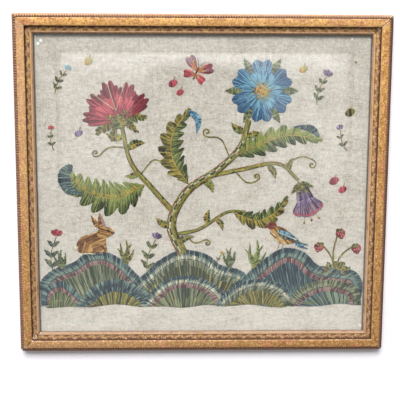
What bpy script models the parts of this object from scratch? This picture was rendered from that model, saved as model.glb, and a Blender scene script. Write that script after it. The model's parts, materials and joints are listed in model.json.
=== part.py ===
"""A crewel embroidery panel behind glass in a gilt moulded frame, lying on its back.

Metres, with +Z up out of the face and +Y towards the top of the picture.
The origin is the middle of the back, on the surface that the frame lies on.
"""

import math

import bmesh
import bpy

MM = 0.001

# Driving sizes of the frame
FRAME_WIDTH = 420 * MM
FRAME_HEIGHT = 384 * MM
MOULDING_WIDTH = 22.0 * MM
MOULDING_DEPTH = 18.0 * MM
REBATE_WIDTH = 6.0 * MM
REBATE_DEPTH = 9.4 * MM
MITRE_GAP = 0.25 * MM

# Across the moulding, from its outer edge: the upright side, the sloped outer strip, the
# beaded roll, the fascia, the step down beside it, the hollow band and the lip at the glass
SIDE_HEIGHT = 11.5 * MM
STRIP_WIDTH = 2.1 * MM
STRIP_TOP = 14.0 * MM
STRIP_BOW = 0.35 * MM
ROLL_RADIUS = 1.15 * MM
ROLL_HEIGHT = 13.9 * MM
FASCIA_OUTER = 4.5 * MM
FASCIA_INNER = 13.4 * MM
FASCIA_EDGE_DROP = 1.1 * MM
FASCIA_EDGE_ROUND = 0.4 * MM
BAND_OUTER = 13.7 * MM
BAND_INNER = 18.7 * MM
BAND_OUTER_HEIGHT = 13.4 * MM
BAND_INNER_HEIGHT = 12.0 * MM
BAND_HOLLOW = 0.35 * MM
LIP_CREST_HEIGHT = 12.5 * MM
LIP_EDGE_HEIGHT = 10.6 * MM

# Sheets held in the rebate, from the front
SHEET_CLEARANCE = 0.8 * MM
LAYER_GAP = 0.3 * MM
GLASS_THICKNESS = 2.0 * MM
STITCH_SPACE = 1.55 * MM
LINEN_THICKNESS = 1.0 * MM
LINEN_MARGIN = 1.0 * MM
BOARD_THICKNESS = 2.6 * MM
BOARD_DROP = 0.4 * MM

# How finely the linen's puckers are drawn
LINEN_COLUMNS = 36
LINEN_ROWS = 33

# Soft puckers in the linen: middle x and y, direction of the crest in degrees,
# half length, half width, and rise of the crest, with a trough below nought
PUCKERS = (
    (52, 108, 33, 26, 8, 0.30),
    (66, 74, 24, 22, 7, -0.22),
    (58, 38, 8, 24, 7, 0.20),
    (-48, 104, -52, 24, 8, 0.24),
    (-146, 120, 84, 34, 9, -0.20),
    (-128, 34, 20, 30, 10, 0.18),
    (-6, -68, 14, 34, 8, 0.26),
    (26, -84, -10, 28, 7, -0.18),
    (122, 12, 62, 26, 9, 0.20),
    (146, 118, -70, 30, 10, -0.18),
    (92, -150, 34, 24, 7, 0.30),
    (44, -148, 3, 44, 6, -0.24),
    (-70, -152, -4, 46, 7, 0.24),
    (-140, -146, 12, 26, 8, -0.20),
    (0, 148, 2, 90, 9, 0.16),
)

# Colours as red, green, blue, alpha, with roughness and metallic after them
GILT = ((0.60, 0.36, 0.12, 1.0), 0.42, 0.75)
GLASS = ((0.90, 0.95, 0.93, 0.15), 0.05, 0.0)
LINEN = ((0.60, 0.56, 0.49, 1.0), 0.95, 0.0)
BOARD = ((0.36, 0.25, 0.15, 1.0), 0.90, 0.0)


def clear_scene():
    """Removes whatever the scene starts with."""
    for item in list(bpy.data.objects):
        bpy.data.objects.remove(item, do_unlink=True)


def make_material(name, finish):
    """A Principled material from a colour, a roughness and a metallic value."""
    colour, roughness, metallic = finish
    material = bpy.data.materials.new(name)
    material.use_nodes = True
    shader = material.node_tree.nodes["Principled BSDF"]
    shader.inputs["Base Color"].default_value = colour
    shader.inputs["Alpha"].default_value = colour[3]
    shader.inputs["Roughness"].default_value = roughness
    shader.inputs["Metallic"].default_value = metallic
    return material


def arc(centre, radius, start, end, steps):
    """Points along a round stretch, from one angle in degrees to another."""
    points = []
    for step in range(steps + 1):
        angle = math.radians(start + (end - start) * step / steps)
        across = centre[0] + radius * math.cos(angle)
        height = centre[1] + radius * math.sin(angle)
        points.append((across, height))
    return points


def bowed(start, end, bow, steps):
    """Points from start to end, raised by bow in the middle, without the end points."""
    points = []
    for step in range(1, steps):
        share = step / steps
        across = start[0] + (end[0] - start[0]) * share
        height = start[1] + (end[1] - start[1]) * share
        height += bow * 4 * share * (1 - share)
        points.append((across, height))
    return points


def moulding_profile():
    """The moulding's section as (distance from the outer edge, height), going round it."""
    strip_top = (STRIP_WIDTH, STRIP_TOP)
    roll_centre = (STRIP_WIDTH + ROLL_RADIUS, ROLL_HEIGHT)
    fascia_edge = MOULDING_DEPTH - FASCIA_EDGE_DROP
    fascia_start = (FASCIA_OUTER + FASCIA_EDGE_ROUND, fascia_edge)
    fascia_end = (FASCIA_INNER - FASCIA_EDGE_ROUND, fascia_edge)
    band_start = (BAND_OUTER, BAND_OUTER_HEIGHT)
    band_end = (BAND_INNER, BAND_INNER_HEIGHT)
    lip_crest = (BAND_INNER + 0.9 * MM, LIP_CREST_HEIGHT)
    lip_edge = (MOULDING_WIDTH, LIP_EDGE_HEIGHT)
    rebate_wall = MOULDING_WIDTH - REBATE_WIDTH

    outline = [(0, 0), (0, SIDE_HEIGHT)]
    outline += bowed((0, SIDE_HEIGHT), strip_top, STRIP_BOW, 4)
    outline += [strip_top]
    outline += arc(roll_centre, ROLL_RADIUS, 160, 15, 7)
    outline += [(FASCIA_OUTER, ROLL_HEIGHT)]
    outline += [(FASCIA_OUTER, fascia_edge - FASCIA_EDGE_ROUND), fascia_start]
    outline += bowed(fascia_start, fascia_end, FASCIA_EDGE_DROP, 8)
    outline += [fascia_end, (FASCIA_INNER, fascia_edge - FASCIA_EDGE_ROUND)]
    outline += [(FASCIA_INNER, BAND_OUTER_HEIGHT), band_start]
    outline += bowed(band_start, band_end, -BAND_HOLLOW, 5)
    outline += [band_end, (BAND_INNER + 0.25 * MM, LIP_CREST_HEIGHT - 0.15 * MM)]
    outline += [lip_crest]
    outline += bowed(lip_crest, lip_edge, 0.35 * MM, 5)
    outline += [lip_edge, (MOULDING_WIDTH, REBATE_DEPTH)]
    outline += [(rebate_wall, REBATE_DEPTH), (rebate_wall, 0)]
    return outline


def profile_mesh(name, outline, length):
    """A straight bar with this outline in its local X and Y, running along its local Z."""
    curve = bpy.data.curves.new(name, "CURVE")
    curve.dimensions = "2D"
    curve.fill_mode = "BOTH"
    curve.extrude = length / 2
    spline = curve.splines.new("POLY")
    spline.points.add(len(outline) - 1)
    for point, (across, height) in zip(spline.points, outline):
        point.co = (across, height, 0, 1)
    spline.use_cyclic_u = True

    holder = bpy.data.objects.new(name + "_outline", curve)
    bpy.context.scene.collection.objects.link(holder)
    depsgraph = bpy.context.evaluated_depsgraph_get()
    mesh = bpy.data.meshes.new_from_object(holder.evaluated_get(depsgraph))
    bpy.data.objects.remove(holder)

    work = bmesh.new()
    work.from_mesh(mesh)
    bmesh.ops.remove_doubles(work, verts=work.verts, dist=0.001 * MM)
    bmesh.ops.recalc_face_normals(work, faces=work.faces)
    work.to_mesh(mesh)
    work.free()
    mesh.name = name
    return mesh


def mitre_ends(mesh, length):
    """Slides each end point along the bar, so that both ends run at 45 degrees."""
    for vertex in mesh.vertices:
        reach = length / 2 - vertex.co.x - MITRE_GAP
        vertex.co.z = math.copysign(reach, vertex.co.z)


def add_object(name, mesh, material, parts):
    """Puts a mesh into the parts collection under this name, with its material."""
    mesh.materials.clear()
    mesh.materials.append(material)
    item = bpy.data.objects.new(name, mesh)
    parts.objects.link(item)
    return item


def add_rail(name, length, place, turn, material, parts):
    """One length of moulding, mitred at both ends, laid with its back down.

    place is the middle of its outer edge and turn is in degrees about Z, where
    nought is the left-hand rail.
    """
    mesh = profile_mesh(name, moulding_profile(), length)
    mitre_ends(mesh, length)
    mesh.shade_smooth()
    mesh.set_sharp_from_angle(angle=math.radians(32))
    rail = add_object(name, mesh, material, parts)
    rail.rotation_euler = (math.radians(90), 0, math.radians(turn))
    rail.location = (place[0], place[1], 0)
    return rail


def add_rails(material, parts):
    """The four rails of the frame."""
    half_width = FRAME_WIDTH / 2
    half_height = FRAME_HEIGHT / 2
    add_rail("rail_left", FRAME_HEIGHT, (-half_width, 0), 0, material, parts)
    add_rail("rail_bottom", FRAME_WIDTH, (0, -half_height), 90, material, parts)
    add_rail("rail_right", FRAME_HEIGHT, (half_width, 0), 180, material, parts)
    add_rail("rail_top", FRAME_WIDTH, (0, half_height), 270, material, parts)


def rebate_size():
    """Width and height of what fits loosely inside the rebate."""
    taken = 2 * (MOULDING_WIDTH - REBATE_WIDTH + SHEET_CLEARANCE)
    return FRAME_WIDTH - taken, FRAME_HEIGHT - taken


def add_flat_board(name, size, top, thickness, material, parts):
    """A flat rectangular pane or board whose front is at the height top."""
    bpy.ops.mesh.primitive_cube_add(size=1, location=(0, 0, top - thickness / 2))
    board = bpy.context.active_object
    board.name = name
    board.scale = (size[0], size[1], thickness)
    bpy.ops.object.transform_apply(location=False, rotation=False, scale=True)
    board.data.name = name
    board.data.materials.append(material)
    for holder in list(board.users_collection):
        holder.objects.unlink(board)
    parts.objects.link(board)
    return board


def pucker_height(x, y):
    """How far the linen rises above its flat level at a place, in metres."""
    height = 0
    for middle_x, middle_y, heading, half_length, half_width, rise in PUCKERS:
        away_x = x / MM - middle_x
        away_y = y / MM - middle_y
        angle = math.radians(heading)
        along = away_x * math.cos(angle) + away_y * math.sin(angle)
        across = away_y * math.cos(angle) - away_x * math.sin(angle)
        fall = (along / half_length) ** 2 + (across / half_width) ** 2
        height += rise * MM * math.exp(-fall)
    return height


def add_linen(size, top, material, parts):
    """The linen ground as one thin sheet, with its soft puckers."""
    bpy.ops.mesh.primitive_grid_add(
        x_subdivisions=LINEN_COLUMNS,
        y_subdivisions=LINEN_ROWS,
        size=1,
        location=(0, 0, top),
    )
    linen = bpy.context.active_object
    linen.name = "embroidered_linen"
    linen.scale = (size[0], size[1], 1)
    bpy.ops.object.transform_apply(location=False, rotation=False, scale=True)
    for vertex in linen.data.vertices:
        vertex.co.z = pucker_height(vertex.co.x, vertex.co.y)
    linen.data.name = linen.name
    linen.data.shade_smooth()
    linen.data.materials.append(material)
    thicken = linen.modifiers.new("thickness", "SOLIDIFY")
    thicken.thickness = LINEN_THICKNESS
    thicken.offset = -1
    for holder in list(linen.users_collection):
        holder.objects.unlink(linen)
    parts.objects.link(linen)
    return linen


def main():
    """Builds the frame, the glass, the linen and the board, from the front to the back."""
    clear_scene()
    parts = bpy.data.collections.new("framed_crewel_panel")
    bpy.context.scene.collection.children.link(parts)
    gilt = make_material("gilt_wood", GILT)
    glass = make_material("window_glass", GLASS)
    linen = make_material("linen_ground", LINEN)
    board = make_material("backing_board", BOARD)

    add_rails(gilt, parts)
    width, height = rebate_size()
    glass_top = REBATE_DEPTH - LAYER_GAP
    linen_top = glass_top - GLASS_THICKNESS - STITCH_SPACE
    board_top = linen_top - LINEN_THICKNESS - LAYER_GAP - BOARD_DROP
    linen_size = (width - 2 * LINEN_MARGIN, height - 2 * LINEN_MARGIN)
    add_flat_board("glass_pane", (width, height), glass_top, GLASS_THICKNESS, glass, parts)
    add_linen(linen_size, linen_top, linen, parts)
    add_flat_board("backing_board", (width, height), board_top, BOARD_THICKNESS, board, parts)


main()
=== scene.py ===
"""Dresses the packed crewel panel: gilt moulding, glass, linen and wool stitching.

Run as a script in Blender. Lengths in Blender are metres. The design on the cloth is
drawn in millimetres, and a place on the cloth is a complex number, x + y * 1j, from
the middle of the panel.
"""

import json
import math

import bpy
import numpy as np
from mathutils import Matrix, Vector

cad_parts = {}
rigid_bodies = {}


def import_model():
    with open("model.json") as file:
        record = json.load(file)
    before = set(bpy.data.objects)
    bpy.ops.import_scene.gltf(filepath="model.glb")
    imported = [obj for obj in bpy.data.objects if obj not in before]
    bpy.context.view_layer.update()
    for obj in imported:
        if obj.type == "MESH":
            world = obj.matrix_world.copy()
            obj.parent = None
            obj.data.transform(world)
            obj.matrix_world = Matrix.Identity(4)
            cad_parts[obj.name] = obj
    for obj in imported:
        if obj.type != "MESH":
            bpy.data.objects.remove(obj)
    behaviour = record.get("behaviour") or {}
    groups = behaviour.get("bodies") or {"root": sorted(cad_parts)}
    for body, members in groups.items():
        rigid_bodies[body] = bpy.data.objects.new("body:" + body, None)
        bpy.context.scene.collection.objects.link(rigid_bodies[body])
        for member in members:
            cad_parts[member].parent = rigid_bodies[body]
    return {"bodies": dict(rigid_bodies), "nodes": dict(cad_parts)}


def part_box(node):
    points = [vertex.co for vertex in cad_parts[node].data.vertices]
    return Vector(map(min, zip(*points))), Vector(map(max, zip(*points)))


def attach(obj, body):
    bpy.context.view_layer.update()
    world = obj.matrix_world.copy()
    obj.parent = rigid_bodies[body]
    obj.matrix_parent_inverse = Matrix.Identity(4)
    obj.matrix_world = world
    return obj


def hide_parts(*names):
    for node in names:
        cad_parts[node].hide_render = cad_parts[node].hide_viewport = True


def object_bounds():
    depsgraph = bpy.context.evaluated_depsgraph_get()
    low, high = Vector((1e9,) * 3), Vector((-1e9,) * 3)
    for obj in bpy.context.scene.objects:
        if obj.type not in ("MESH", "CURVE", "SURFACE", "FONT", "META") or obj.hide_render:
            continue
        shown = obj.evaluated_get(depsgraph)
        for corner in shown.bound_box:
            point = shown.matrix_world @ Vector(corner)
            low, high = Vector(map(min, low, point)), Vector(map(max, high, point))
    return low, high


bl_info = {
    "name": "Framed crewel panel",
    "version": (1, 0, 0),
    "blender": (4, 5, 0),
    "location": "View3D > Sidebar > Crewel",
    "description": "Builds the gilt frame, glass, linen and wool stitching of a crewel panel",
    "category": "Object",
}

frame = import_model()
CAD_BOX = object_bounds()

MM = 0.001
HALF_WIDTH = CAD_BOX[1].x / MM
HALF_HEIGHT = CAD_BOX[1].y / MM
MOULDING_WIDTH = (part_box("rail_left")[1].x - CAD_BOX[0].x) / MM
MOULDING_DEPTH = CAD_BOX[1].z / MM
GLASS_LOW, GLASS_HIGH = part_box("glass_pane")
LINEN_LOW, LINEN_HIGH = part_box("embroidered_linen")

# The linen's level where it has no pucker, above the back of the frame
LINEN_LEVEL = 5.55
LINEN_THICKNESS = 1.0

# Soft puckers in the linen: middle x and y, direction of the crest in degrees,
# half length, half width, and rise of the crest, with a trough below nought
PUCKERS = (
    (52, 108, 33, 26, 8, 0.30),
    (66, 74, 24, 22, 7, -0.22),
    (58, 38, 8, 24, 7, 0.20),
    (-48, 104, -52, 24, 8, 0.24),
    (-146, 120, 84, 34, 9, -0.20),
    (-128, 34, 20, 30, 10, 0.18),
    (-6, -68, 14, 34, 8, 0.26),
    (26, -84, -10, 28, 7, -0.18),
    (122, 12, 62, 26, 9, 0.20),
    (146, 118, -70, 30, 10, -0.18),
    (92, -150, 34, 24, 7, 0.30),
    (44, -148, 3, 44, 6, -0.24),
    (-70, -152, -4, 46, 7, 0.24),
    (-140, -146, 12, 26, 8, -0.20),
    (0, 148, 2, 90, 9, 0.16),
)

# Old marks on the cloth: x, y, radius in millimetres, and strength
STAINS = (
    (171, 140, 1.8, 0.75),
    (-164, -1, 0.9, 0.5),
    (-166, 10, 0.7, 0.4),
    (22, 14, 0.8, 0.5),
    (-152, -148, 0.8, 0.45),
    (140, 96, 1.1, 0.35),
    (150, 150, 9.0, 0.12),
    (-60, -160, 14.0, 0.10),
)

# Painted glints: white flecks on the cloth's corners for small lamps mirrored in the glass:
# x, y and radius in millimetres
GLINT_FLECKS = (
    (-186.0, 167.2, 1.2),
    (-180.1, 162.8, 1.7),
    (-183.1, 159.4, 1.8),
    (185.9, -165.2, 1.2),
    (185.0, 165.6, 0.8),
    (166.0, 166.0, 1.3),
)


def linear(red, green, blue):
    """A colour as read from a screen, 0 to 255 a channel, in Blender's linear values."""
    channels = []
    for level in (red, green, blue):
        share = level / 255
        if share <= 0.04045:
            channels.append(share / 12.92)
        else:
            channels.append(((share + 0.055) / 1.055) ** 2.4)
    return tuple(channels)


def colour(name, description, *screen):
    """A colour property whose default is given as read from a screen."""
    return bpy.props.FloatVectorProperty(
        name=name,
        description=description,
        subtype="COLOR",
        size=3,
        min=0.0,
        max=1.0,
        default=linear(*screen),
    )


def length(name, description, default):
    """A length property, given in millimetres and kept in metres."""
    return bpy.props.FloatProperty(
        name=name,
        description=description,
        subtype="DISTANCE",
        unit="LENGTH",
        min=0.0,
        precision=5,
        default=default * MM,
    )


def amount(name, description, default, high=10.0):
    """A plain number property."""
    return bpy.props.FloatProperty(
        name=name, description=description, min=0.0, max=high, default=default
    )


class CrewelFrameSettings(bpy.types.PropertyGroup):
    """Sizes and colours of the gilt moulding and the board behind it."""

    bead_pitch: length("Bead pitch", "From one bead of the edge roll to the next", 2.9)
    bead_depth: length("Bead depth", "How deep the nicks between the beads are", 0.55)
    leaf_pitch: length("Leaf pitch", "From one leaf of the carved band to the next", 11.5)
    carving_depth: length("Carving depth", "How far the carved leaves stand up", 0.75)
    bright_gold: colour("Bright gold", "Gold leaf where it is whole", 192, 147, 82)
    leaf_glint: colour("Leaf glint", "Small bright grains of the leaf", 244, 208, 146)
    dull_gold: colour("Dull gold", "Gold leaf where it is rubbed thin", 156, 108, 50)
    # Painted shade: the gold darkens towards this colour towards the lower edge
    lower_shade_gold: colour("Aged gold", "Darker old leaf towards the lower edge", 124, 86, 44)
    red_clay: colour("Red clay", "The clay ground that shows through worn leaf", 164, 98, 72)
    # Brown of the grime, also used for painted shade in grooves, hollows, lip slopes and the mitred
    # ends
    grime_and_shade_brown: colour("Grime", "Dirt in the hollows", 62, 32, 16)
    pale_gesso: colour("Gesso", "White ground in chips and along open mitres", 244, 216, 190)
    # Pale rubbed, dusty leaf, also used as painted highlight on the top rail's edge and the bead crests
    rub_and_highlight: colour("Rubbed edge", "Dusty, rubbed leaf on the edge and the lip", 182, 152, 126)
    bare_wood: colour("Bare wood", "The back and the rebate of the moulding", 150, 108, 66)
    board_wood: colour("Board", "The backing board", 128, 92, 58)


class CrewelClothSettings(bpy.types.PropertyGroup):
    """Sizes and colours of the linen ground and of the glass."""

    thread_pitch: length("Thread pitch", "From one linen thread to the next", 0.62)
    linen_light: colour("Light linen", "The linen's lighter threads", 225, 212, 202)
    linen_cool: colour("Cool linen", "The linen's lighter threads in its cooler patches", 215, 208, 195)
    linen_dark: colour("Dark linen", "The linen's darker threads and patches", 180, 168, 155)
    linen_stain: colour("Stain", "Old spots on the linen", 112, 88, 62)
    # Dirt and painted shadow on the linen along the rebate, under the lip's overhang
    linen_edge_dirt_and_shadow: colour("Linen edge", "Dirt on the linen along the rebate", 92, 80, 68)
    # White of the glints painted in the corners
    linen_glint: colour("Fleck", "Small white flecks in the corners", 255, 255, 255)
    glass_tint: colour("Glass", "The tint of the pane", 245.5, 247.0, 247.0)


class CrewelWoolSettings(bpy.types.PropertyGroup):
    """Sizes of the stitches and colours of the wools."""

    thickness: length("Wool thickness", "Width of one stitch", 1.05)


# Each wool: its name in full, its darkest shade and its lightest one, as on a screen
WOOL_SHADES = {
    "crimson": ("Crimson", (104, 10, 30), (218, 96, 104)),
    "blue": ("Blue", (34, 72, 112), (134, 184, 204)),
    "teal": ("Teal", (10, 42, 54), (140, 158, 144)),
    "spruce": ("Blue-green", (4, 36, 56), (130, 152, 140)),
    "green": ("Leaf green", (20, 32, 8), (154, 162, 84)),
    "olive": ("Olive", (44, 36, 8), (186, 168, 72)),
    "sage": ("Grey-green", (44, 58, 36), (160, 160, 124)),
    "purple": ("Purple", (62, 34, 76), (168, 146, 176)),
    "mauve": ("Rose-brown", (84, 42, 44), (182, 146, 140)),
    "tan": ("Tan", (104, 52, 12), (220, 172, 98)),
    "cream": ("Cream", (176, 160, 122), (236, 226, 200)),
    "ink": ("Brown-black", (30, 22, 20), (92, 74, 58)),
}
for wool, (words, darkest, lightest) in WOOL_SHADES.items():
    for end, screen in (("dark", darkest), ("light", lightest)):
        CrewelWoolSettings.__annotations__[f"{wool}_{end}"] = colour(
            f"{end.title()} {wool}", f"{words} wool, {end}est shade", *screen
        )


class CrewelStageSettings(bpy.types.PropertyGroup):
    """Strengths of the studio light."""

    room: amount("Room light", "Strength of the even light from all round", 0.56)
    key: amount("Key light", "Power of the lamp beyond the top edge, in watts", 920.0, 3000.0)
    veil: amount("Softbox", "Brightness of the softbox that the glass mirrors", 2.6)
    floor: colour("Floor", "The pale surface under the frame", 216, 215, 219)


class Wire:
    """One output socket of a material, on which sums make Math nodes."""

    def __init__(self, tree, socket):
        self.tree = tree
        self.socket = socket

    def math(self, operation, *others, swap=False):
        """A Math node on this socket and the others, in the other order if swapped."""
        values = [self, *others]
        if swap:
            values.reverse()
        node = self.tree.nodes.new("ShaderNodeMath")
        node.operation = operation
        for slot, value in zip(node.inputs, values):
            feed(self.tree, slot, value)
        return Wire(self.tree, node.outputs[0])

    def __add__(self, other):
        return self.math("ADD", other)

    def __sub__(self, other):
        return self.math("SUBTRACT", other)

    def __rsub__(self, other):
        return self.math("SUBTRACT", other, swap=True)

    def __mul__(self, other):
        return self.math("MULTIPLY", other)

    def __truediv__(self, other):
        return self.math("DIVIDE", other)

    __radd__ = __add__
    __rmul__ = __mul__


def feed(tree, slot, value):
    """Links a wire to an input, or sets the input to a number or colour."""
    if isinstance(value, Wire):
        tree.links.new(value.socket, slot)
    elif hasattr(value, "__len__") and slot.type == "RGBA":
        slot.default_value = (*tuple(value)[:3], 1.0)
    else:
        slot.default_value = value


class Recipe:
    """A Principled material whose colour and relief are written as expressions."""

    def __init__(self, name):
        self.material = bpy.data.materials.new(name)
        self.material.use_nodes = True
        self.tree = self.material.node_tree
        self.shader = self.tree.nodes["Principled BSDF"]

    def surface(self, shader):
        """Puts another shader in the Principled one's place."""
        self.tree.nodes.remove(self.shader)
        output = self.tree.nodes["Material Output"]
        self.tree.links.new(shader.socket, output.inputs["Surface"])
        return self.material

    def node(self, kind, settings=None, inputs=None, output=0):
        """Adds a node, sets its settings first and then its sockets, and gives an output."""
        made = self.tree.nodes.new("ShaderNode" + kind)
        for name, value in (settings or {}).items():
            setattr(made, name, value)
        for name, value in (inputs or {}).items():
            feed(self.tree, made.inputs[name], value)
        return Wire(self.tree, made.outputs[output])

    def place(self, stretch=(1.0, 1.0, 1.0)):
        """Where a point of the object is, in millimetres, stretched by three factors."""
        where = self.node("TexCoord", output="Object")
        factors = tuple(factor / MM for factor in stretch)
        return self.node("VectorMath", {"operation": "MULTIPLY"}, {0: where, 1: factors})

    def noise(self, where, size, detail=2.0, rough=0.5):
        """Soft noise from 0 to 1 whose patches are about this many millimetres across."""
        inputs = {"Vector": where, "Scale": 1 / size, "Detail": detail, "Roughness": rough}
        return self.node("TexNoise", None, inputs)

    def rise(self, value, low, high):
        """Goes smoothly from 0 at the low value to 1 at the high one."""
        settings = {"interpolation_type": "SMOOTHSTEP"}
        return self.node("MapRange", settings, {"Value": value, "From Min": low, "From Max": high})

    def blend(self, share, first, second):
        """A colour between two, by a share from 0 to 1."""
        made = self.tree.nodes.new("ShaderNodeMix")
        made.data_type = "RGBA"
        feed(self.tree, made.inputs[0], share)
        feed(self.tree, made.inputs[6], first)
        feed(self.tree, made.inputs[7], second)
        return Wire(self.tree, made.outputs[2])

    def axes(self, where):
        """The x and the y of a place."""
        apart = self.node("SeparateXYZ", None, {"Vector": where})
        return apart, Wire(self.tree, apart.socket.node.outputs["Y"])

    def painted(self, name):
        """A number that was stored on the mesh's points under this name."""
        return self.node("Attribute", {"attribute_name": name}, output="Fac")

    def relief(self, height, distance, normal=None):
        """A normal bent by a height from 0 to 1 that stands for this many millimetres."""
        inputs = {"Height": height, "Distance": distance * MM, "Strength": 1.0}
        if normal is not None:
            inputs["Normal"] = normal
        return self.node("Bump", None, inputs)

    def finish(self, **sockets):
        """Feeds the shader's sockets, whose names are written with underscores."""
        for name, value in sockets.items():
            feed(self.tree, self.shader.inputs[name.replace("_", " ").title()], value)
        return self.material


def make_mesh(name, points, faces, material, attributes=None, smooth=True):
    """An object from an array of points in metres and a list of faces."""
    mesh = bpy.data.meshes.new(name)
    mesh.from_pydata(points.tolist(), [], faces)
    for title, values in (attributes or {}).items():
        layer = mesh.attributes.new(title, "FLOAT", "POINT")
        layer.data.foreach_set("value", np.asarray(values, np.float32))
    if smooth:
        mesh.shade_smooth()
    mesh.materials.append(material)
    made = bpy.data.objects.new(name, mesh)
    bpy.context.scene.collection.objects.link(made)
    return made


def grid_faces(rows, columns, first=0, flip=False):
    """Faces of a grid of points that are numbered row by row."""
    row, column = np.meshgrid(np.arange(rows - 1), np.arange(columns - 1), indexing="ij")
    corner = (first + row * columns + column).ravel()
    faces = np.stack([corner, corner + 1, corner + columns + 1, corner + columns], axis=1)
    if flip:
        faces = faces[:, ::-1]
    return faces


def cloth_height(x, y):
    """How far the linen rises above its level at places in millimetres."""
    height = np.zeros_like(x, dtype=float)
    for middle_x, middle_y, heading, half_length, half_width, rise in PUCKERS:
        angle = math.radians(heading)
        along = (x - middle_x) * math.cos(angle) + (y - middle_y) * math.sin(angle)
        across = (y - middle_y) * math.cos(angle) - (x - middle_x) * math.sin(angle)
        height += rise * np.exp(-((along / half_length) ** 2) - (across / half_width) ** 2)
    return height


def cloth_ripple(x, y):
    """Small shallow ripples that the stitching draws into the linen."""
    ripple = 0.07 * np.sin(x / 5.1 + 1.7 * np.sin(y / 17.0)) * np.sin(y / 6.3 + x / 31.0)
    ripple += 0.05 * np.sin(x / 11.0 - y / 4.4 + 2.0 * np.sin(x / 41.0))
    return ripple


# The moulding's section: distances in from its outer edge, and heights above its back,
# in millimetres
SIDE_HEIGHT = 13.0
STRIP_WIDTH = 2.1
STRIP_TOP = 14.2
ROLL_RADIUS = 1.15
ROLL_HEIGHT = 13.9
FASCIA_OUTER = 4.5
FASCIA_INNER = 13.4
FASCIA_EDGE = MOULDING_DEPTH - 0.4
FASCIA_SHOULDER = FASCIA_EDGE - 0.45
FASCIA_ROUND = 0.4
FASCIA_BOW = 0.32
STEP_HEIGHT = 14.6
SLOPE_BOW = 0.35
BAND_OUTER = 13.7
BAND_INNER = 18.7
BAND_OUTER_HEIGHT = 13.4
BAND_INNER_HEIGHT = 12.0
LIP_CREST = 12.5
LIP_EDGE = 10.6
REBATE_WALL = MOULDING_WIDTH - 6.0
REBATE_DEPTH = 9.4

# How far apart the cross-sections of each stretch are, in millimetres
FINE_STEP = 0.48
MIDDLE_STEP = 2.5
COARSE_STEP = 12.0


def bowed(start, end, bow, count):
    """Points from start to end, raised by bow in the middle."""
    share = np.linspace(0, 1, count)
    across = start[0] + (end[0] - start[0]) * share
    height = start[1] + (end[1] - start[1]) * share + bow * 4 * share * (1 - share)
    return np.stack([across, height], axis=1)


def roll_section():
    """The edge roll's rounded section."""
    angle = np.radians(np.linspace(160, 15, 9))
    middle = STRIP_WIDTH + ROLL_RADIUS
    across = middle + ROLL_RADIUS * np.cos(angle)
    return np.stack([across, ROLL_HEIGHT + ROLL_RADIUS * np.sin(angle)], axis=1)


def fascia_section():
    """The broad convex face, with its two edges rounded."""
    start = (FASCIA_OUTER + FASCIA_ROUND, FASCIA_EDGE)
    face = bowed(start, (FASCIA_INNER - FASCIA_ROUND, FASCIA_EDGE), FASCIA_BOW, 11)
    shoulders = [[(across, FASCIA_SHOULDER)] for across in (FASCIA_OUTER, FASCIA_INNER)]
    return np.vstack([shoulders[0], face, shoulders[1]])


def lip_section():
    """The rounded lip beside the glass."""
    crest = (BAND_INNER + 0.9, LIP_CREST)
    slope = bowed(crest, (MOULDING_WIDTH, LIP_EDGE), SLOPE_BOW, 7)
    start = (BAND_INNER, BAND_INNER_HEIGHT)
    rise = (BAND_INNER + 0.25, LIP_CREST - 0.15)
    return np.vstack([[start], [rise], slope])


def moulding_stretches():
    """The moulding's section as (name, points, step along the rail), going round it."""
    strip = bowed((0, SIDE_HEIGHT), (STRIP_WIDTH, STRIP_TOP), SLOPE_BOW, 6)
    roll = roll_section()
    band = bowed((BAND_OUTER, BAND_OUTER_HEIGHT), (BAND_INNER, BAND_INNER_HEIGHT), -SLOPE_BOW, 13)
    side = np.array([(0, 0), (0, 4), (0, 8), (0, SIDE_HEIGHT)], float)
    strip_side = np.array([strip[-1], roll[0]])
    flank = np.array([roll[-1], (FASCIA_OUTER, ROLL_HEIGHT), (FASCIA_OUTER, FASCIA_SHOULDER)])
    step = np.array([(FASCIA_INNER, FASCIA_SHOULDER), (FASCIA_INNER, STEP_HEIGHT), band[0]])
    rebate = np.array(
        [(MOULDING_WIDTH, LIP_EDGE), (MOULDING_WIDTH, REBATE_DEPTH), (REBATE_WALL, REBATE_DEPTH)]
    )
    back = np.array([(REBATE_WALL, REBATE_DEPTH), (REBATE_WALL, 0), (8, 0), (0, 0)], float)
    return (
        ("side", side, COARSE_STEP),
        ("strip", strip, FINE_STEP),
        ("groove", strip_side, COARSE_STEP),
        ("beads", roll, FINE_STEP),
        ("flank", flank, COARSE_STEP),
        ("fascia", fascia_section(), MIDDLE_STEP),
        ("step", step, COARSE_STEP),
        ("band", band, FINE_STEP),
        ("lip", lip_section(), MIDDLE_STEP),
        ("rebate", rebate, COARSE_STEP),
        ("back", back, COARSE_STEP),
    )


def section_normals(section):
    """Outward directions across a stretch of the section."""
    along = np.gradient(section, axis=0)
    outward = np.stack([-along[:, 1], along[:, 0]], axis=1)
    return outward / np.linalg.norm(outward, axis=1, keepdims=True)


def bead_hollow(along, pitch):
    """How deep the edge roll is between its beads: 0 on a bead, 1 in a hollow."""
    return 0.5 - 0.5 * np.cos(2 * math.pi * along / pitch)


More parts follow.
